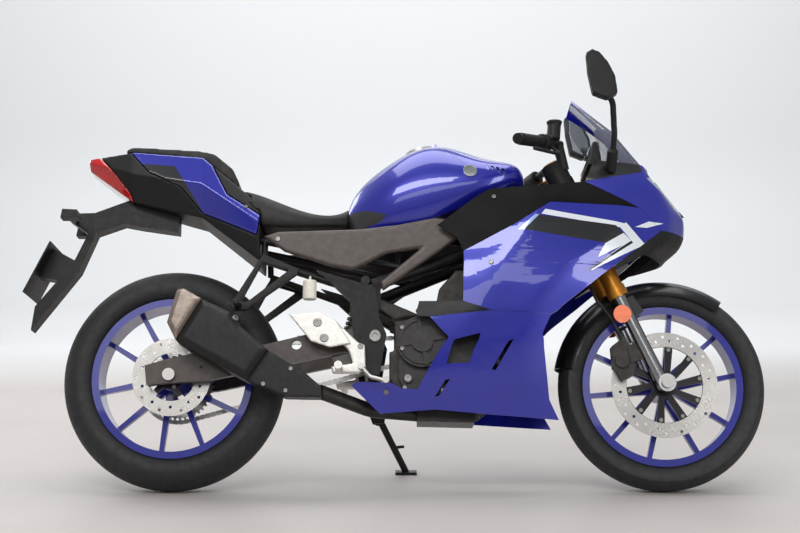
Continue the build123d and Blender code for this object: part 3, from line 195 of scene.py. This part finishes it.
# colour, shade, roughness, size of the clouds, metallic, coat, grain, size of the grain
for name, values in {
    "blue_paint": PAINT,
    "blue_tank": PAINT,
    "blue_rim": ((18, 22, 128), (15, 19, 116), 0.34, 20.0, 0.25, 0.6),
    "black_gloss": ((14, 13, 14), (10, 10, 11), 0.3, 12.0, 0.0, 0.15),
    "black_plastic": ((22, 21, 22), (17, 17, 18), 0.5, 70.0, 0.0, 0.0, 0.3),
    "taupe_plastic": ((72, 62, 57), (62, 53, 49), 0.42, 60.0, 0.1, 0.1, 0.15),
    "taupe_metal": ((68, 59, 54), (58, 50, 47), 0.42, 60.0, 0.3, 0.1, 0.1),
    "dark_metal": ((36, 34, 34), (28, 27, 27), 0.45, 60.0, 0.4, 0.0, 0.15),
    "engine_alloy": ((60, 56, 53), (46, 43, 41), 0.5, 50.0, 0.6, 0.0, 0.4),
    "cover_alloy": ((46, 43, 42), (36, 34, 33), 0.42, 60.0, 0.4, 0.0, 0.25),
    "bright_alloy": ((214, 210, 204), (198, 194, 188), 0.34, 80.0, 0.6, 0.0, 0.05),
    "muffler_cap": ((150, 135, 124), (128, 116, 108), 0.4, 60.0, 0.7, 0.0, 0.1),
    "steel": ((182, 179, 175), (170, 167, 163), 0.3, 18.0, 0.9),
    "chrome": ((158, 157, 157), (144, 143, 144), 0.2, 60.0, 1.0),
    "gold_alloy": ((206, 138, 44), (186, 118, 32), 0.3, 60.0, 0.8, 0.2),
    "muffler_paint": ((34, 33, 33), (28, 27, 27), 0.48, 60.0, 0.2, 0.0, 0.2),
    "rubber": ((22, 22, 22), (17, 17, 17), 0.65, 90.0, 0.0, 0.0, 0.4),
    "seat_cover": ((34, 32, 31), (27, 26, 25), 0.5, 50.0, 0.0, 0.0, 0.5, 1400.0),
    "amber_lens": ((236, 104, 14), (212, 86, 10), 0.18, 50.0, 0.0, 0.6),
    "white_plastic": ((222, 217, 204), (206, 202, 190), 0.4, 60.0),
    "dark_steel": ((58, 55, 53), (44, 42, 41), 0.4, 40.0, 0.6, 0.0, 0.1),
    "scoop_black": ((13, 12, 13), (10, 10, 10), 0.5, 12.0),
    "bolt": ((150, 148, 145), (120, 118, 116), 0.35, 300.0, 0.8),
    "badge": ((128, 132, 134), (108, 112, 114), 0.35, 200.0, 0.6, 0.3),
    "glass_black": ((16, 17, 20), (10, 11, 13), 0.08, 30.0, 0.0, 1.0),
    "mirror_glass": ((205, 210, 214), (190, 195, 200), 0.04, 30.0, 1.0),
}.items():
    looks[name] = finish(name, *values)
looks["scoop_black"].set(Specular_IOR_Level=0.1)
for name in ("black_gloss", "black_plastic", "dark_metal", "muffler_paint", "rubber", "seat_cover"):
    looks[name].set(Specular_IOR_Level=0.3)


def glassy(name, colour, shade, alpha, rough):
    """A see-through finish, unevenly tinted between two colours."""
    look = Look(name)
    look.set(Base_Color=look.mix(look.noise(20.0), srgb(*colour), srgb(*shade)))
    look.set(Roughness=rough, Coat_Weight=0.6)
    look.set(Alpha=look.ramp(look.noise(12.0), alpha * 0.95, alpha * 1.05))
    return look


# Screen: smoked and clear at its sides, blue along the middle
SCREEN_BAND = 62
screen = glassy("screen", (120, 124, 134), (104, 108, 118), 0.3, 0.08)
middle = screen.math("LESS_THAN", screen.math("ABSOLUTE", screen.bike_axis(1)), SCREEN_BAND)
screen.paint(middle, srgb(*BLUE[0]))
screen.set(Alpha=screen.math("MAXIMUM", screen.shader.inputs["Alpha"].links[0].from_socket, middle))
looks["screen"] = screen
looks["lamp_glass"] = glassy("lamp_glass", (168, 180, 196), (130, 140, 156), 0.8, 0.06)

# Markings on the fairing: a black field, with white bands along it and round its front corner
FIELD = [(1028, 746), (1246, 726), (1268, 706), (1213, 671), (985, 703)]
WHITE_BANDS = [
    [(1046, 763), (1274, 734), (1260, 721), (1034, 749)],
    [(1277, 738), (1333, 680), (1289, 689), (1256, 724)],
    [(1333, 680), (1173, 593), (1167, 596), (1289, 689)],
    [(1268, 706), (1293, 685), (1191, 631), (1213, 671)],
]
NOSE_BAND = [(1304, 728), (1348, 751), (1395, 752), (1342, 731)]
SLASH = [(1291, 687), (1296, 681), (1167, 591), (1162, 594)]
FADE = [(1028, 746), (985, 703), (968, 703), (1018, 748)]
fairing = finish("fairing_paint", *PAINT)
fairing.paint(fairing.inside(FADE), srgb(150, 168, 214))
for points in WHITE_BANDS + [NOSE_BAND]:
    fairing.paint(fairing.inside(points), WHITE)
fairing.paint(fairing.inside(FIELD), BLACK)
fairing.paint(fairing.inside(SLASH), BLACK)
looks["fairing"] = fairing
NOSE_EDGE = [(1362, 898), (1386, 890), (1462, 792), (1440, 808)]
COCKPIT_RIM = [(1086, 967), (1324, 967), (1340, 906), (1086, 836)]
nose = finish("nose_paint", *PAINT)
for points in (NOSE_BAND, NOSE_EDGE):
    nose.paint(nose.inside(points), WHITE)
nose.paint(nose.inside(COCKPIT_RIM), BLACK)
looks["nose"] = nose

# Tail: blue in front of a slanting line and along the top, black behind it
# Tank: the seat's colour where the seat's nose reaches it
TAIL_BLACK = [(-190, 940), (-5, 920), (72, 796), (-78, 780), (-190, 880)]
SEAT_NOSE = [(468, 785), (542, 788), (605, 770), (588, 752), (511, 726), (468, 720)]
tail = finish("tail_paint", *PAINT)
tail.paint(tail.inside(TAIL_BLACK), BLACK)
looks["tail"] = tail
tank = finish("tank_paint", *PAINT)
tank.paint(tank.inside(SEAT_NOSE), srgb(46, 43, 42))
looks["tank"] = tank


# Wheels: places round an axle
class Turned:
    """Distances about a wheel's axle, for a look."""

    def __init__(self, look, joint):
        middle = Vector(joint["pos_m"])
        self.across = look.along(joint["axis"], middle)
        self.forward = look.along(TURN.col[0], middle)
        self.height = look.along(TURN.col[2], middle)
        squares = [look.math("MULTIPLY", way, way) for way in (self.forward, self.height)]
        self.radius = look.math("SQRT", look.math("ADD", *squares))
        self.angle = look.math("ARCTAN2", self.height, self.forward)


GROOVE_SLANT = 30.0
GROOVE_SHARE = 0.1
GROOVE_FROM = 0.014
GROOVE_TO = 0.05
TREAD_DEPTH = 42
WALL_RINGS = 1400.0
WALL_RELIEF = 0.15
DISC_RINGS = 6000.0


def tyre_look(name, joint, radius, grooves):
    """Rubber with slanted grooves on the tread, painted darker in the grooves as painted shade, and fine rings on
    the wall.
    """
    look = finish(name, (32, 31, 32), (25, 25, 26), 0.66, 60.0)
    turned = Turned(look, joint)
    side = look.math("ABSOLUTE", turned.across)
    share = look.math("MULTIPLY", turned.angle, grooves / math.tau)
    turns = look.math("MULTIPLY_ADD", side, GROOVE_SLANT, share)
    groove = look.math("LESS_THAN", look.math("FRACT", turns), GROOVE_SHARE)
    past = look.math("GREATER_THAN", side, GROOVE_FROM)
    reach = look.math("MULTIPLY", past, look.math("LESS_THAN", side, GROOVE_TO))
    tread = look.math("GREATER_THAN", turned.radius, (radius - TREAD_DEPTH) / MM)
    cut = look.math("MULTIPLY", look.math("MULTIPLY", groove, reach), tread)
    # painted shade: the grooves are painted darker than the rubber around them
    look.paint(cut, srgb(14, 14, 14))
    rings = look.math("SINE", look.math("MULTIPLY", turned.radius, WALL_RINGS))
    relief = look.math("SUBTRACT", WALL_RELIEF, look.math("MULTIPLY", tread, WALL_RELIEF))
    wall = look.math("MULTIPLY", rings, relief)
    look.bump(look.math("SUBTRACT", wall, cut), 0.6, 0.002)
    return look


def disc_look(name, joint, band):
    """Steel, turned in fine rings, on a dark carrier."""
    look = finish(name, (186, 182, 177), (172, 168, 164), 0.28, 14.0, 0.9)
    turned = Turned(look, joint)
    look.paint(look.math("LESS_THAN", turned.radius, band / MM), srgb(48, 46, 46))
    look.bump(look.math("SINE", look.math("MULTIPLY", turned.radius, DISC_RINGS)), 0.1, 0.0003)
    return look


looks["front_tyre"] = tyre_look("front_tyre", joints["front_wheel_spin"], FRONT_RADIUS, 22)
looks["rear_tyre"] = tyre_look("rear_tyre", joints["rear_wheel_spin"], REAR_RADIUS, 24)
looks["front_disc"] = disc_look("front_disc", joints["front_wheel_spin"], 108)
looks["rear_disc"] = disc_look("rear_disc", joints["rear_wheel_spin"], 60)

# Radiator: flat tubes with fins between; the tubes are painted lighter than the dark fins, as painted highlight on
# the tubes and painted shade between them
TUBE_PITCH = 9
radiator = finish("radiator_core", (40, 40, 41), (30, 30, 31), 0.5, 60.0, 0.5)
core = radiator.math("SINE", radiator.math("MULTIPLY", radiator.bike_axis(2), math.tau / TUBE_PITCH))
# painted highlight and shade: the tubes are painted lighter, and the fins between them are left dark
radiator.paint(radiator.math("GREATER_THAN", core, 0.3), srgb(92, 90, 88))
radiator.bump(core, 0.5, 0.002)
looks["radiator"] = radiator

# Tail light: upright ribs behind the lens
RIB_PITCH = 6
tail_light = finish("tail_lens", (206, 16, 18), (170, 10, 12), 0.12, 50.0, 0.0, 0.8)
ribs = tail_light.math("SINE", tail_light.math("MULTIPLY", tail_light.bike_axis(0), math.tau / RIB_PITCH))
tail_light.paint(tail_light.math("GREATER_THAN", ribs, 0.7), srgb(120, 4, 8))
looks["tail_light"] = tail_light

special = {"side_fairings": "fairing", "nose_cowl": "nose", "exhaust_pipes": "dark_steel"}
special |= {"tail_cowls": "tail", "fuel_tank": "tank", "scoop_panels": "scoop_black"}
for name in ("front_tyre", "rear_tyre", "front_disc", "rear_disc", "radiator", "tail_light"):
    special[name] = name


def look_of(node):
    return looks[special.get(node, slot_of[node])].material


# Shading of what the CAD made: joined corners, smooth across the shallow edges
def smooth_tree(angle):
    tree = bpy.data.node_groups.new(f"smooth_{angle}", "GeometryNodeTree")
    tree.interface.new_socket("Geometry", in_out="INPUT", socket_type="NodeSocketGeometry")
    tree.interface.new_socket("Geometry", in_out="OUTPUT", socket_type="NodeSocketGeometry")
    start = tree.nodes.new("NodeGroupInput")
    end = tree.nodes.new("NodeGroupOutput")
    merge = tree.nodes.new("GeometryNodeMergeByDistance")
    merge.inputs["Distance"].default_value = SAME_POINT
    soft = tree.nodes.new("GeometryNodeSetShadeSmooth")
    soft.domain = "FACE"
    edge = tree.nodes.new("GeometryNodeInputMeshEdgeAngle")
    test = tree.nodes.new("FunctionNodeCompare")
    test.data_type = "FLOAT"
    test.operation = "GREATER_THAN"
    test.inputs[1].default_value = math.radians(angle)
    sharp = tree.nodes.new("GeometryNodeSetShadeSmooth")
    sharp.domain = "EDGE"
    sharp.inputs["Shade Smooth"].default_value = False
    tree.links.new(start.outputs[0], merge.inputs["Geometry"])
    tree.links.new(merge.outputs["Geometry"], soft.inputs["Geometry"])
    tree.links.new(soft.outputs["Geometry"], sharp.inputs["Geometry"])
    tree.links.new(edge.outputs["Unsigned Angle"], test.inputs[0])
    tree.links.new(test.outputs["Result"], sharp.inputs["Selection"])
    tree.links.new(sharp.outputs["Geometry"], end.inputs[0])
    return tree


SMOOTH_UNDER = 32
SMOOTH = smooth_tree(SMOOTH_UNDER)
for name, obj in nodes.items():
    obj.data.materials.clear()
    obj.data.materials.append(look_of(name))
    obj.modifiers.new("smooth", "NODES").node_group = SMOOTH


# Pieces
def add_piece(name, mesh, material, body, replaced=None):
    piece = bpy.data.objects.new(name, mesh)
    scene.collection.objects.link(piece)
    mesh.materials.clear()
    mesh.materials.append(material)
    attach(piece, body)
    if replaced:
        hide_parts(replaced)
    return piece


def softened(node, cell, rounds, keep):
    """Stands for a node: its solid with rounded edges, remeshed in cells and then relaxed."""
    form = bmesh.new()
    form.from_mesh(nodes[node].data)
    bmesh.ops.remove_doubles(form, verts=form.verts, dist=SAME_POINT)
    mesh = bpy.data.meshes.new(node)
    form.to_mesh(mesh)
    form.free()
    work = bpy.data.objects.new(node, mesh)
    scene.collection.objects.link(work)
    cells = work.modifiers.new("cells", "REMESH")
    cells.mode = "VOXEL"
    cells.voxel_size = cell / MM
    cells.use_smooth_shade = True
    relax = work.modifiers.new("relax", "SMOOTH")
    relax.factor = 0.5
    relax.iterations = rounds
    thin = work.modifiers.new("thin", "DECIMATE")
    thin.ratio = keep
    shape = work.evaluated_get(bpy.context.evaluated_depsgraph_get())
    mesh = bpy.data.meshes.new_from_object(shape)
    bpy.data.objects.remove(work)
    return add_piece(f"{node}_form", mesh, look_of(node), body_of[node], node)


# node, size of its cells in mm, rounds of relaxing, share of the faces kept
SOFTENED = [
    ("rider_seat", 4.0, 16, 0.5),
    ("pillion_seat", 4.0, 16, 0.5),
    ("mirrors", 3.0, 8, 0.5),
    ("tail_cowls", 3.0, 5, 0.4),
    ("tail_underside", 4.0, 5, 0.4),
    ("tail_light", 3.0, 4, 0.5),
    ("muffler", 3.0, 7, 0.35),
    ("muffler_end", 3.0, 4, 0.5),
    ("frame_covers", 2.5, 4, 0.35),
    ("heel_plates", 2.0, 3, 0.4),
    ("rearsets", 2.5, 5, 0.5),
    ("engine", 4.0, 3, 0.35),
    ("rear_caliper", 2.0, 3, 0.5),
    ("dash", 3.0, 4, 0.5),
    ("controls", 2.0, 4, 0.4),
    ("pillion_hangers", 2.0, 3, 0.4),
    ("brake_reservoir", 2.0, 3, 0.5),
]
for row in SOFTENED:
    piece = softened(*row)

# Front fairing: the CAD's panels are ruled between levels, and here their creases are rounded
# height, then x and half width at the rear, middle, quarter and front, then x on the centre line
FAIRING_LEVELS = [
    (185, (495, 100), (800, 128), (1000, 122), (1090, 112), None),
    (300, (495, 140), (800, 180), (980, 172), (1075, 150), None),
    (400, (495, 160), (800, 204), (980, 200), (1060, 182), None),
    (480, (660, 188), (860, 220), (1000, 218), (1075, 200), None),
    (560, (700, 190), (900, 229), (1060, 224), (1185, 196), None),
    (610, (720, 186), (920, 231), (1100, 220), (1262, 182), None),
    (650, (735, 180), (950, 231), (1180, 210), (1330, 152), 1400),
    (690, (735, 176), (980, 231), (1220, 196), (1390, 112), 1458),
    (727, (735, 174), (1000, 230), (1250, 184), (1410, 96), 1478),
    (790, (735, 172), (1050, 222), (1270, 164), (1420, 76), 1482),
    (860, (735, 170), (1060, 186), (1260, 144), (1388, 90), 1425),
    (930, (735, 168), (1060, 150), (1230, 126), (1344, 84), 1370),
]
LAST_CORNER = 4


def plan(height):
    """The five corners of the fairing's right half at one height, as (x, half width)."""
    height = min(max(height, FAIRING_LEVELS[0][0]), FAIRING_LEVELS[-1][0])
    for low, high in zip(FAIRING_LEVELS, FAIRING_LEVELS[1:]):
        if height <= high[0]:
            break
    share = (height - low[0]) / (high[0] - low[0])
    corners = []
    for level in (low, high):
        quarter, front, centre = level[3], level[4], level[5]
        straight_on = (2 * front[0] - quarter[0], 2 * front[1] - quarter[1])
        corners.append([Vector(point) for point in level[1:5]])
        corners[-1].append(Vector(straight_on if centre is None else (centre, 0)))
    return [a.lerp(b, share) for a, b in zip(*corners)]


def on_plan(corners, step, ahead):
    """The point some way along the plan from a step between its corners; past the nose y turns over."""
    index = min(int(step), LAST_CORNER - 1)
    length = (corners[index + 1] - corners[index]).length
    left = (step - index) * length + ahead
    while left < 0 and index > 0:
        index -= 1
        length = (corners[index + 1] - corners[index]).length
        left += length
    while left > length and index < LAST_CORNER - 1:
        left -= length
        index += 1
        length = (corners[index + 1] - corners[index]).length
    if left > length:
        point = corners[index].lerp(corners[index + 1], 2 - left / length)
        return Vector((point.x, -point.y))
    return corners[index].lerp(corners[index + 1], left / length)


def step_of(corners, x, half):
    """The step between the plan's corners that is nearest to a point, and its distance."""
    best = (0.0, 1e9)
    spot = Vector((x, half))
    for index in range(LAST_CORNER):
        a, b = corners[index], corners[index + 1]
        run = b - a
        share = min(max((spot - a).dot(run) / run.length_squared, 0.0), 0.9999)
        gap = (spot - a - run * share).length
        if gap < best[1]:
            best = (index + share, gap)
    return best


BLUR = ((-2, 1), (-1, 4), (0, 6), (1, 4), (2, 1))
BLUR_TOTAL = sum(weight for step, weight in BLUR) ** 2
BLUR_ALONG = 20
BLUR_UP = 13
FADE_START = 8
FADE_END = 40
plans = {}


def plan_near(height):
    key = round(height)
    if key not in plans:
        plans[key] = plan(key)
    return plans[key]


def rounding(x, y, z):
    """How far a point of the fairing moves when its creases are rounded: in x and in half width."""
    corners = plan_near(z)
    step, gap = step_of(corners, x, abs(y))
    here = on_plan(corners, step, 0)
    total = Vector((0, 0))
    for row, row_weight in BLUR:
        level = plan_near(z + row * BLUR_UP)
        for column, weight in BLUR:
            total += on_plan(level, step, column * BLUR_ALONG) * (weight * row_weight)
    fade = min(max((FADE_END - gap) / (FADE_END - FADE_START), 0.0), 1.0)
    return (total / BLUR_TOTAL - here) * fade


GRID = 14
PANELS = ("side_fairings", "scoop_panels", "nose_cowl", "belly_pan", "nose_duct", "headlamps", "fairing_trim")
for node in PANELS:
    form = bmesh.new()
    form.from_mesh(nodes[node].data)
    bmesh.ops.remove_doubles(form, verts=form.verts, dist=SAME_POINT)
    form.transform(Matrix.Translation(-SHIFT))
    form.transform(TURN.transposed().to_4x4())
    form.transform(Matrix.Scale(MM, 4))
    for axis in (0, 2):
        low = min(vert.co[axis] for vert in form.verts)
        high = max(vert.co[axis] for vert in form.verts)
        normal = Vector((axis == 0, 0, axis == 2))
        for number in range(math.ceil(low / GRID), math.ceil(high / GRID)):
            geometry = form.verts[:] + form.edges[:] + form.faces[:]
            bmesh.ops.bisect_plane(form, geom=geometry, plane_co=normal * number * GRID, plane_no=normal)
    for vert in form.verts:
        side = 1 if vert.co.y > 0 else -1
        move = rounding(*vert.co)
        vert.co += Vector((move.x, side * move.y, 0))
    form.transform(Matrix.Scale(1 / MM, 4))
    form.transform(TURN.to_4x4())
    form.transform(Matrix.Translation(SHIFT))
    mesh = bpy.data.meshes.new(f"{node}_skin")
    form.to_mesh(mesh)
    form.free()
    piece = add_piece(f"{node}_skin", mesh, look_of(node), body_of[node], node)
    piece.modifiers.new("smooth", "NODES").node_group = SMOOTH


# Bolts and other turned details, set on the faces of the nodes
OUTSIDE = 500
BOTH = (-1, 1)
RIGHT = (-1,)
trees = {}


def face_of(node, x, z, side):
    """Where a line across the bike meets a node from one side (-1 right, 1 left), and the normal there."""
    if node not in trees:
        mesh = nodes[node].data
        points = [vert.co for vert in mesh.vertices]
        trees[node] = BVHTree.FromPolygons(points, [face.vertices[:] for face in mesh.polygons])
    place, normal, _, _ = trees[node].ray_cast(at(x, side * OUTSIDE, z), TURN @ Vector((0, -side, 0)))
    return place, normal


def turn_profile(form, place, outward, profile, segments=20):
    """A turned shape from (radius, height) pairs in mm, standing on a face."""
    upright = outward.to_track_quat("Z", "Y").to_matrix()
    rings = []
    for radius, height in profile:
        ring = []
        for number in range(segments):
            angle = math.tau * number / segments
            local = Vector((radius * math.cos(angle), radius * math.sin(angle), height)) / MM
            ring.append(form.verts.new(place + upright @ local))
        rings.append(ring)
    for low, high in zip(rings, rings[1:]):
        for number in range(segments):
            following = (number + 1) % segments
            form.faces.new((low[number], low[following], high[following], high[number]))
    form.faces.new(rings[-1])
    form.faces.new(reversed(rings[0]))


def bolt_profile(radius, height):
    """A round head with a bevelled rim and a socket."""
    return [
        (radius, -1),
        (radius, height * 0.7),
        (radius * 0.86, height),
        (radius * 0.5, height),
        (radius * 0.46, height * 0.4),
    ]


def turned_piece(name, rows, look, body):
    """One piece from rows of node, x, z, side and profile."""
    form = bmesh.new()
    for node, x, z, side, profile in rows:
        place, normal = face_of(node, x, z, side)
        if place:
            turn_profile(form, place, normal, profile)
    mesh = bpy.data.meshes.new(name)
    form.to_mesh(mesh)
    form.free()
    piece = add_piece(name, mesh, looks[look].material, body)
    piece.modifiers.new("smooth", "NODES").node_group = SMOOTH
    return piece


# node, x, z, radius, height, on which sides
BOLTS = [
    ("frame_covers", 299, 693, 7, 4, BOTH),
    ("frame_covers", 826, 730, 7, 4, BOTH),
    ("rearsets", 533, 386, 8, 4, BOTH),
    ("rearsets", 537, 326, 8, 4, BOTH),
    ("heel_plates", 414, 451, 12, 4, BOTH),
    ("heel_plates", 433, 408, 12, 4, BOTH),
    ("frame", 573, 419, 17, 7, BOTH),
    ("belly_pan", 603, 262, 7, 3, RIGHT),
    ("side_fairings", 893, 611, 7, 3, BOTH),
    ("muffler", 270, 276, 6, 4, RIGHT),
    ("muffler", 331, 258, 6, 4, RIGHT),
    ("muffler", 344, 318, 6, 4, RIGHT),
    ("muffler", 190, 455, 9, 5, RIGHT),
    ("engine_covers", 664, 300, 11, 5, RIGHT),
    ("engine_covers", 655, 275, 6, 5, RIGHT),
    ("engine_covers", 648, 440, 6, 5, RIGHT),
    ("engine_covers", 648, 380, 6, 5, RIGHT),
    ("engine_covers", 740, 462, 6, 5, RIGHT),
    ("engine_covers", 760, 268, 6, 5, RIGHT),
    ("tail_cowls", 205, 792, 5, 3, BOTH),
    ("scoop_panels", 905, 805, 6, 3, BOTH),
]
rows = []
for node, x, z, radius, height, sides in BOLTS:
    for side in sides:
        rows.append((node, x, z, side, bolt_profile(radius, height)))
turned_piece("bolts", rows, "bolt", "chassis")
BADGE = [(20, -1), (20, 1.5), (18.5, 2.2), (16, 1.6)]
badges = [("fuel_tank", 841, 893, side, BADGE) for side in BOTH]
turned_piece("badges", badges, "badge", "chassis")


def ring_of_bolts(node, centre, radius, count, start):
    """Rows of bolts round an axle, on the right side."""
    found = []
    for number in range(count):
        angle = math.radians(start + number * 360 / count)
        x = centre[0] + radius * math.cos(angle)
        z = centre[1] + radius * math.sin(angle)
        found.append((node, x, z, RIGHT[0], bolt_profile(6, 4)))
    return found


FRONT_AXLE = (WHEELBASE, FRONT_RADIUS)
REAR_AXLE = (0, REAR_RADIUS)
rows = ring_of_bolts("front_disc", FRONT_AXLE, 100, 10, 10)
turned_piece("front_disc_bolts", rows, "bolt", "front_wheel")
rows = ring_of_bolts("rear_disc", REAR_AXLE, 29, 5, 0)
turned_piece("rear_disc_bolts", rows, "bolt", "rear_wheel")


# Flat panes: the mirrors' glass and the dash's window
def pane(name, outlines, look, body):
    """Thin plates from outlines of bike points, each with the way to its back."""
    form = bmesh.new()
    for points, depth in outlines:
        front = [form.verts.new(at(*point)) for point in points]
        back = [form.verts.new(at(*(Vector(point) + Vector(depth)))) for point in points]
        form.faces.new(front)
        form.faces.new(reversed(back))
        for number in range(len(points)):
            following = (number + 1) % len(points)
            form.faces.new((front[number], back[number], back[following], front[following]))
    bmesh.ops.recalc_face_normals(form, faces=form.faces)
    bmesh.ops.bevel(form, geom=form.edges[:], offset=0.0006, segments=2, affect="EDGES")
    mesh = bpy.data.meshes.new(name)
    form.to_mesh(mesh)
    form.free()
    return add_piece(name, mesh, looks[look].material, body)


GLASS = [(1176, 1186), (1196, 1180), (1216, 1154), (1232, 1118)]
GLASS += [(1236, 1080), (1214, 1070), (1186, 1084), (1176, 1140)]
GLASS_Y = 273.5
GLASS_WALL = 1.6
glasses = []
for side in BOTH:
    points = [(x, side * GLASS_Y, z) for x, z in GLASS]
    glasses.append((points, (0, side * -GLASS_WALL, 0)))
pane("mirror_glass", glasses, "mirror_glass", "chassis")
DASH_HALF = 76
dash = [(1183.5, -DASH_HALF, 942), (1183.5, DASH_HALF, 942)]
dash += [(1196, DASH_HALF, 990), (1196, -DASH_HALF, 990)]
pane("dash_window", [(dash, (-2.5, 0, 0.6))], "glass_black", "chassis")

# Floor and backdrop, one pale sheet that curves up behind
WALL_AT = 9.0
WALL_TOP = 8.0
CURVE = 1.5
STEPS = 12
FLOOR_FRONT = -14.0
profile = [(FLOOR_FRONT, 0.0), (WALL_AT - CURVE, 0.0)]
for step in range(1, STEPS + 1):
    turn = math.radians(90 * step / STEPS)
    profile.append((WALL_AT - CURVE + CURVE * math.sin(turn), CURVE - CURVE * math.cos(turn)))
profile.append((WALL_AT, WALL_TOP))
HALF_SPAN = 16.0
verts = [(x, y, z) for y, z in profile for x in (-HALF_SPAN, HALF_SPAN)]
faces = [(2 * i, 2 * i + 1, 2 * i + 3, 2 * i + 2) for i in range(len(profile) - 1)]
mesh = bpy.data.meshes.new("floor")
mesh.from_pydata(verts, [], faces)
for polygon in mesh.polygons:
    polygon.use_smooth = True
floor = bpy.data.objects.new("floor", mesh)
scene.collection.objects.link(floor)
sheet = finish("floor", (186, 180, 176), (181, 175, 171), 0.5, 1.5)
rise = sheet.ramp(sheet.along((0, 1, 0), Vector((0, 0, 0))), 0.0, 1.0, 2.2, 4.2)
sheet.paint(rise, srgb(232, 233, 234))
floor.data.materials.append(sheet.material)

# Soft studio light
world = bpy.data.worlds.new("studio")
scene.world = world
world.use_nodes = True
world.node_tree.nodes["Background"].inputs["Color"].default_value = (0.92, 0.96, 1.0, 1)
world.node_tree.nodes["Background"].inputs["Strength"].default_value = 0.4


def softbox(name, place, target, size, power):
    light = bpy.data.lights.new(name, "AREA")
    light.shape = "RECTANGLE"
    light.size, light.size_y = size
    light.energy = power
    lamp = bpy.data.objects.new(name, light)
    scene.collection.objects.link(lamp)
    lamp.location = place
    lamp.rotation_mode = "QUATERNION"
    lamp.rotation_quaternion = (Vector(target) - Vector(place)).to_track_quat("-Z", "Y")


softbox("key", (-1.4, -4.6, 4.6), (0, 0, 0.6), (4.5, 1.2), 165)
softbox("low", (-0.4, -5.4, 2.8), (0, 0, 0.6), (5.0, 0.9), 34)
softbox("side", (3.2, -3.4, 1.2), (0.4, 0, 0.5), (1.2, 2.0), 45)
softbox("wash", (0.0, 5.6, 5.6), (0, 7.4, 0.6), (9.0, 2.0), 240)
softbox("top", (0.0, 0.4, 4.2), (0, 0, 0), (4.5, 2.4), 120)
softbox("back", (-3.4, 2.2, 2.4), (-0.4, 0, 0.7), (1.6, 1.6), 50)

# Camera, at the photo's place
PHOTO_WIDTH = 800
PHOTO_MIDDLE = 266.5
HORIZON = 209
FOCAL = 1510
CAMERA_AHEAD = 642
CAMERA_AWAY = 4.232
CAMERA_HEIGHT = 0.796
SENSOR = 36.0
camera = bpy.data.objects.new("camera", bpy.data.cameras.new("camera"))
scene.collection.objects.link(camera)
camera.data.sensor_width = SENSOR
camera.data.lens = FOCAL / PHOTO_WIDTH * SENSOR
camera.location = (at(CAMERA_AHEAD, 0, 0).x, at(0, 0, CROWN_RADIUS).y - CAMERA_AWAY, CAMERA_HEIGHT)
camera.rotation_euler = (math.radians(90) - math.atan((PHOTO_MIDDLE - HORIZON) / FOCAL), 0, 0)
scene.camera = camera
scene.view_settings.view_transform = "Standard"
